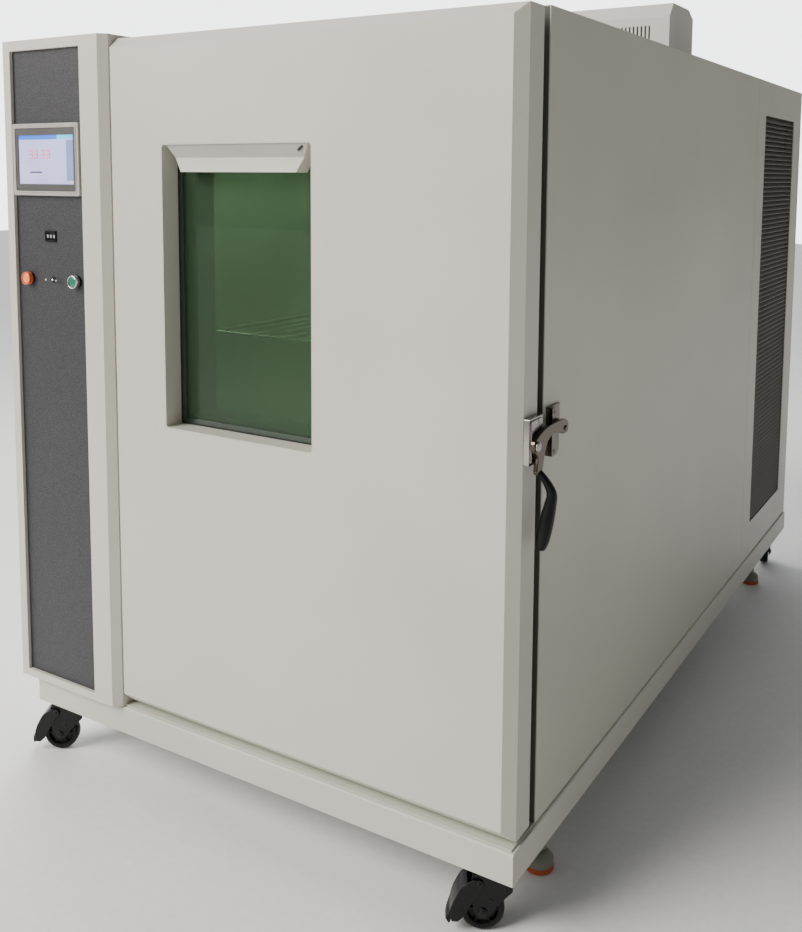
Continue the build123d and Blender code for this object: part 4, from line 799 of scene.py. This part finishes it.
# three panes and the dark spacer frames between them
paneNotes = {"thick": 5, "spacer": 16, "middle": 32, "clear": 0.3}
stack = paneHi.y - paneLo.y
thick = paneNotes["thick"] * mm
panes = (("paneFront", 0, frontPane), ("paneMiddle", paneNotes["middle"] * mm, paneGreen),
         ("paneRear", stack - thick, paneGreen))
for name, start, glass in panes:
    bm = bmesh.new()
    slab(bm, roundedRect(pw, ph, 1 * mm, 2), -start - thick, -start, winFace)
    piece(name, bm, "door", glass, instead=["window_glass"])
bm = bmesh.new()
inner = paneNotes["spacer"] * 2 * mm
clear = paneNotes["clear"] * mm
between = paneNotes["middle"] * mm
outerLoop, innerLoop = roundedRect(pw - 2 * mm, ph - 2 * mm, 1 * mm), roundedRect(pw - inner, ph - inner,
                                                                                  1 * mm)
for start, stop in ((thick + clear, between - clear), (between + thick + clear, stack - thick - clear)):
    ringSlab(bm, outerLoop, innerLoop, -stop, -start, winFace)
piece("paneSpacers", bm, "door", spacerDark)

visLo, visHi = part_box("window_visor")
visorNotes = {"foldDrop": 26, "foldDepth": 11, "edgeDepth": 7, "mitre": 34 / 56}
section = [(visLo.y, visHi.z), (visLo.y + visorNotes["foldDepth"] * mm,
                                visHi.z - visorNotes["foldDrop"] * mm),
           (visLo.y + visorNotes["edgeDepth"] * mm, visLo.z), (visHi.y, visLo.z), (visHi.y, visHi.z)]
bm = bmesh.new()
ends = []
for edge, side in ((visLo.x, 1), (visHi.x, -1)):
    ends.append([bm.verts.new((edge + side * visorNotes["mitre"] * (visHi.z - z), y, z)) for y, z in section])
for i in range(5):
    j = (i + 1) % 5
    facet = bm.faces.new((ends[0][i], ends[0][j], ends[1][j], ends[1][i]))
    # the upper facet takes the darker cream as painted shade; the other facets keep the door's cream
    facet.material_index = 1 if i == 0 else 0
for end in ends:
    bm.faces.new(end)
piece("visorFolds", bm, "door", [creamDoor, visorPaintedShade], soft=0.8 * mm,
      instead=["window_visor"])
bm = bmesh.new()
slotPlane = framePlane((visHi.x - 19 * mm, visLo.y + 3.2 * mm, visHi.z - 9 * mm), Vector((-0.78, 0, -0.62)),
                       (0, -1, 0))
slab(bm, roundedRect(16 * mm, 5 * mm, 2.4 * mm, 4), 0, 1.4 * mm, slotPlane)
piece("visorSlot", bm, "door", rubberBlack, soft=0.3 * mm)
print("window")


# door seal: hollow bulb with a lip, on the door's back

gasLo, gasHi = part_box("door_gasket")
sealNotes = {"width": 30, "corner": 20}
gasMid = (gasLo + gasHi) / 2
gasFace = framePlane((gasMid.x, gasLo.y, gasMid.z), (1, 0, 0), (0, -1, 0))
gw, gh, deep = gasHi.x - gasLo.x, gasHi.z - gasLo.z, gasHi.y - gasLo.y
bm = bmesh.new()
profile = [(0, 0.02), (0.0, 0.35), (0.12, 0.62), (0.30, 0.9), (0.5, 0.99), (0.7, 0.9), (0.88, 0.62),
           (1, 0.35), (1, 0.02)]
rows = []
for across, out in profile:
    inset = across * sealNotes["width"] * mm
    loop = roundedRect(gw - 2 * inset, gh - 2 * inset, max(2 * mm, sealNotes["corner"] * mm - inset * 0.6), 6)
    rows.append([bm.verts.new(gasFace @ Vector((u, v, -out * deep))) for u, v in loop])
for a, b in zip(rows, rows[1:] + rows[:1]):
    for i in range(len(a)):
        j = (i + 1) % len(a)
        bm.faces.new((a[i], a[j], b[j], b[i]))
piece("doorSeal", bm, "door", rubberBlack, instead=["door_gasket"])
print("door seal")


# shelves of round wire with turned-up side rails

shLo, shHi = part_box("shelves")
shelfNotes = {"wire": 5, "rail": 10, "wires": 15}
bm = bmesh.new()
for level in (shLo.z, shHi.z - shelfNotes["rail"] * mm):
    z = level + shelfNotes["wire"] * mm / 2
    for xa in (shLo.x + 5 * mm, shHi.x - 5 * mm):
        rail = [(xa, shLo.y + 3 * mm, level + 5 * mm), (xa, shHi.y - 3 * mm, level + 5 * mm)]
        sweep(bm, rail, 4.9 * mm, 16)
    for ya in (shLo.y + 2.5 * mm, (shLo.y + shHi.y) / 2, shHi.y - 2.5 * mm):
        sweep(bm, [(shLo.x + 5 * mm, ya, z), (shHi.x - 5 * mm, ya, z)], 2.5 * mm, 12)
    gap = (shHi.x - shLo.x) / (shelfNotes["wires"] + 1)
    for i in range(1, shelfNotes["wires"] + 1):
        x = shLo.x + i * gap
        sweep(bm, [(x, shLo.y + 1 * mm, z + 1 * mm), (x, shHi.y - 1 * mm, z + 1 * mm)], 2.4 * mm, 12)
piece("wireShelves", bm, "cabinet", polished, instead=["shelves"])
print("shelves")


# cable gland: ribbed nut over its flange, and screws on the sheet panels

glLo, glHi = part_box("cable_gland")
glC = (glLo + glHi) / 2
bm = bmesh.new()
gland = placeAt((glC.x, glLo.y, glC.z), (0, 1, 0))
turned = [(10, 0), (26, 0), (26, 5), (25, 6), (19, 6), (19, 8), (18, 9), (18, 22), (16.5, 25), (13, 26),
          (10, 26), (10, 0)]
lathe(bm, inMm(turned), gland, 40)
for k in range(12):
    rib = gland @ Matrix.Rotation(k * math.pi / 6, 4, "Z")
    slab(bm, inMm([(16, -1.4), (18.9, -1.0), (18.9, 1.0), (16, 1.4)]), 9 * mm, 20 * mm, rib)
piece("cableGland", bm, "cabinet", blackMoulded, soft=0.4 * mm,
      instead=["cable_gland"])

screwNotes = {"head": 5, "rise": 1.1, "fromSlats": 16, "fromEnd": 40, "fromEdge": 20, "perSide": 4,
              "perBack": 5}


def panHead(bm, at, out):
    r, h = screwNotes["head"], screwNotes["rise"]
    turned = [(0, h * 0.35), (1.2, h * 0.35), (1.5, h), (r * 0.7, h * 0.92), (r * 0.95, h * 0.45), (r, -0.3)]
    lathe(bm, inMm(turned), placeAt(at, out), 24)


def spread(low, high, fromEnd, count):
    return [low + fromEnd + (high - low - 2 * fromEnd) * k / (count - 1) for k in range(count)]


msLo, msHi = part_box("machine_side_panels")
grLo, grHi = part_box("side_grilles")
rpLo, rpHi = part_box("rear_panel")
bm = bmesh.new()
fromEnd, fromSlats, fromEdge = (screwNotes[k] * mm for k in ("fromEnd", "fromSlats", "fromEdge"))
for y in (grLo.y - fromSlats, grHi.y + fromSlats):
    for z in spread(grLo.z, grHi.z, fromEnd, screwNotes["perSide"]):
        panHead(bm, (msHi.x - 1.2 * mm, y, z), (1, 0, 0))
        panHead(bm, (msLo.x + 1.2 * mm, y, z), (-1, 0, 0))
for z in spread(rpLo.z, rpHi.z, fromEnd, screwNotes["perBack"]):
    for x in (rpLo.x + fromEdge, rpHi.x - fromEdge):
        panHead(bm, (x, rpHi.y - 0.2 * mm, z), (0, 1, 0))
piece("panelScrews", bm, "cabinet", zinc)
print("gland and screws")


# column return: the sheet that closes the column's back where it stands past the cabinet's side

returnNotes = {"skin": 2, "play": 0.2, "sheet": 1.5, "hem": 18, "tuck": 14, "screwFrom": 19, "fromEnd": 60,
               "screws": 5}
colLo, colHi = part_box("column_fascia")
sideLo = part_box("side_panels")[0]
play, sheet = returnNotes["play"] * mm, returnNotes["sheet"] * mm
wallX = colLo.x + returnNotes["skin"] * mm + play
backY = colHi.y - play
endX = sideLo.x + returnNotes["tuck"] * mm
z0 = colLo.z + returnNotes["skin"] * mm + play
z1 = colHi.z - returnNotes["skin"] * mm - play
hemY = backY - returnNotes["hem"] * mm
folded = [(wallX, hemY), (wallX + sheet, hemY), (wallX + sheet, backY - sheet), (endX, backY - sheet),
          (endX, backY), (wallX, backY)]
bm = bmesh.new()
slab(bm, folded, z0, z1, Matrix.Identity(4))
piece("columnReturn", bm, "cabinet", creamDoor, soft=0.4 * mm)
bm = bmesh.new()
for z in spread(z0, z1, returnNotes["fromEnd"] * mm, returnNotes["screws"]):
    panHead(bm, (colLo.x + returnNotes["screwFrom"] * mm, backY - 0.2 * mm, z), (0, 1, 0))
piece("returnScrews", bm, "cabinet", zinc)
print("column return")


# floor, light and camera

bm = bmesh.new()
slab(bm, roundedRect(40, 40, 2, 6), -0.06, -0.0005, Matrix.Identity(4))
bmesh.ops.recalc_face_normals(bm, faces=bm.faces)
floorMesh = bpy.data.meshes.new("floor")
bm.to_mesh(floorMesh)
bm.free()
floor = bpy.data.objects.new("floor", floorMesh)
bpy.context.scene.collection.objects.link(floor)
floorMesh.materials.append(coated("floorPaint", (0.90, 0.90, 0.895), rough=0.7, grain=60, depth=0.0002,
                                  drift=0.02, soften=None))

world = bpy.data.worlds.new("paleRoom")
bpy.context.scene.world = world
world.use_nodes = True
sky = world.node_tree
back = sky.nodes["Background"]
roomNotes = {"towards": (-0.6, 0.8, 0.0), "dim": 0.19, "bright": 4.0, "from": 0.72, "to": 0.88}
where = sky.nodes.new("ShaderNodeTexCoord")
dotted = sky.nodes.new("ShaderNodeVectorMath")
dotted.operation = "DOT_PRODUCT"
dotted.inputs[1].default_value = roomNotes["towards"]
sky.links.new(where.outputs["Generated"], dotted.inputs[0])
fade = sky.nodes.new("ShaderNodeMapRange")
fade.inputs["From Min"].default_value = roomNotes["from"]
fade.inputs["From Max"].default_value = roomNotes["to"]
fade.inputs["To Min"].default_value = roomNotes["dim"]
fade.inputs["To Max"].default_value = roomNotes["bright"]
sky.links.new(dotted.outputs["Value"], fade.inputs["Value"])
sky.links.new(fade.outputs["Result"], back.inputs["Strength"])
back.inputs["Color"].default_value = (0.97, 0.985, 1.0, 1)


def softLight(name, place, aim, size, power, colour=(1, 1, 1)):
    light = bpy.data.lights.new(name, "AREA")
    light.shape, light.size, light.size_y = "RECTANGLE", size[0], size[1]
    light.energy, light.color = power, colour
    obj = bpy.data.objects.new(name, light)
    bpy.context.scene.collection.objects.link(obj)
    obj.location = place
    obj.rotation_euler = (Vector(aim) - Vector(place)).to_track_quat("-Z", "Y").to_euler()


softLight("keyLight", (-2.4, -4.6, 3.2), (0, -0.8, 0.9), (3.2, 2.6), 200, (1.0, 0.97, 0.92))

sun = bpy.data.lights.new("dayLight", "SUN")
sun.energy, sun.angle, sun.color = 2.0, math.radians(30), (1.0, 0.975, 0.93)
sunObj = bpy.data.objects.new("dayLight", sun)
bpy.context.scene.collection.objects.link(sunObj)
sunObj.rotation_euler = Vector((0.40, 0.66, -0.64)).to_track_quat("-Z", "Y").to_euler()
softLight("topLight", (-2.2, 1.2, 4.4), (-0.2, 0.2, 0.6), (3.0, 3.0), 160)
linerLo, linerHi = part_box("chamber_liner")
lampAt = Vector(((linerLo.x + linerHi.x) / 2, linerLo.y + 0.22, linerHi.z - 0.06))
softLight("chamberLamp", lampAt, lampAt + Vector((0, 0.5, -0.9)), (0.40, 0.12), 6, (0.95, 1.0, 0.93))

cam = bpy.data.cameras.new("viewCamera")
camera = bpy.data.objects.new("viewCamera", cam)
bpy.context.scene.collection.objects.link(camera)
bpy.context.scene.camera = camera
lens = {"yaw": 0.5532, "pitch": -0.1032, "roll": 0.0056, "focal": 1038.14, "longSide": 932,
        "centreY": 283.787}
stand = {"unit": 1.45, "right": 1357.085, "front": 1043.022, "up": 801.69 + 128}
unit = stand["unit"] * mm
at = Vector((colLo.x + stand["right"] * unit, colLo.y - stand["front"] * unit, stand["up"] * unit))
yaw, pitch, roll = lens["yaw"], lens["pitch"], lens["roll"]
ahead = Vector((-math.sin(yaw) * math.cos(pitch), math.cos(yaw) * math.cos(pitch), math.sin(pitch)))
right = Vector((math.cos(yaw), math.sin(yaw), 0))
upward = right.cross(ahead)
rolledRight = right * math.cos(roll) + upward * math.sin(roll)
rolledUp = upward * math.cos(roll) - right * math.sin(roll)
turn = Matrix((rolledRight, rolledUp, -ahead)).transposed().to_4x4()
turn.translation = at
camera.matrix_world = turn
cam.sensor_width = 36
cam.lens = lens["focal"] / lens["longSide"] * 36
cam.shift_y = -(lens["longSide"] / 2 - lens["centreY"]) / lens["longSide"]
cam.clip_start, cam.clip_end = 0.05, 100
print("camera and light")
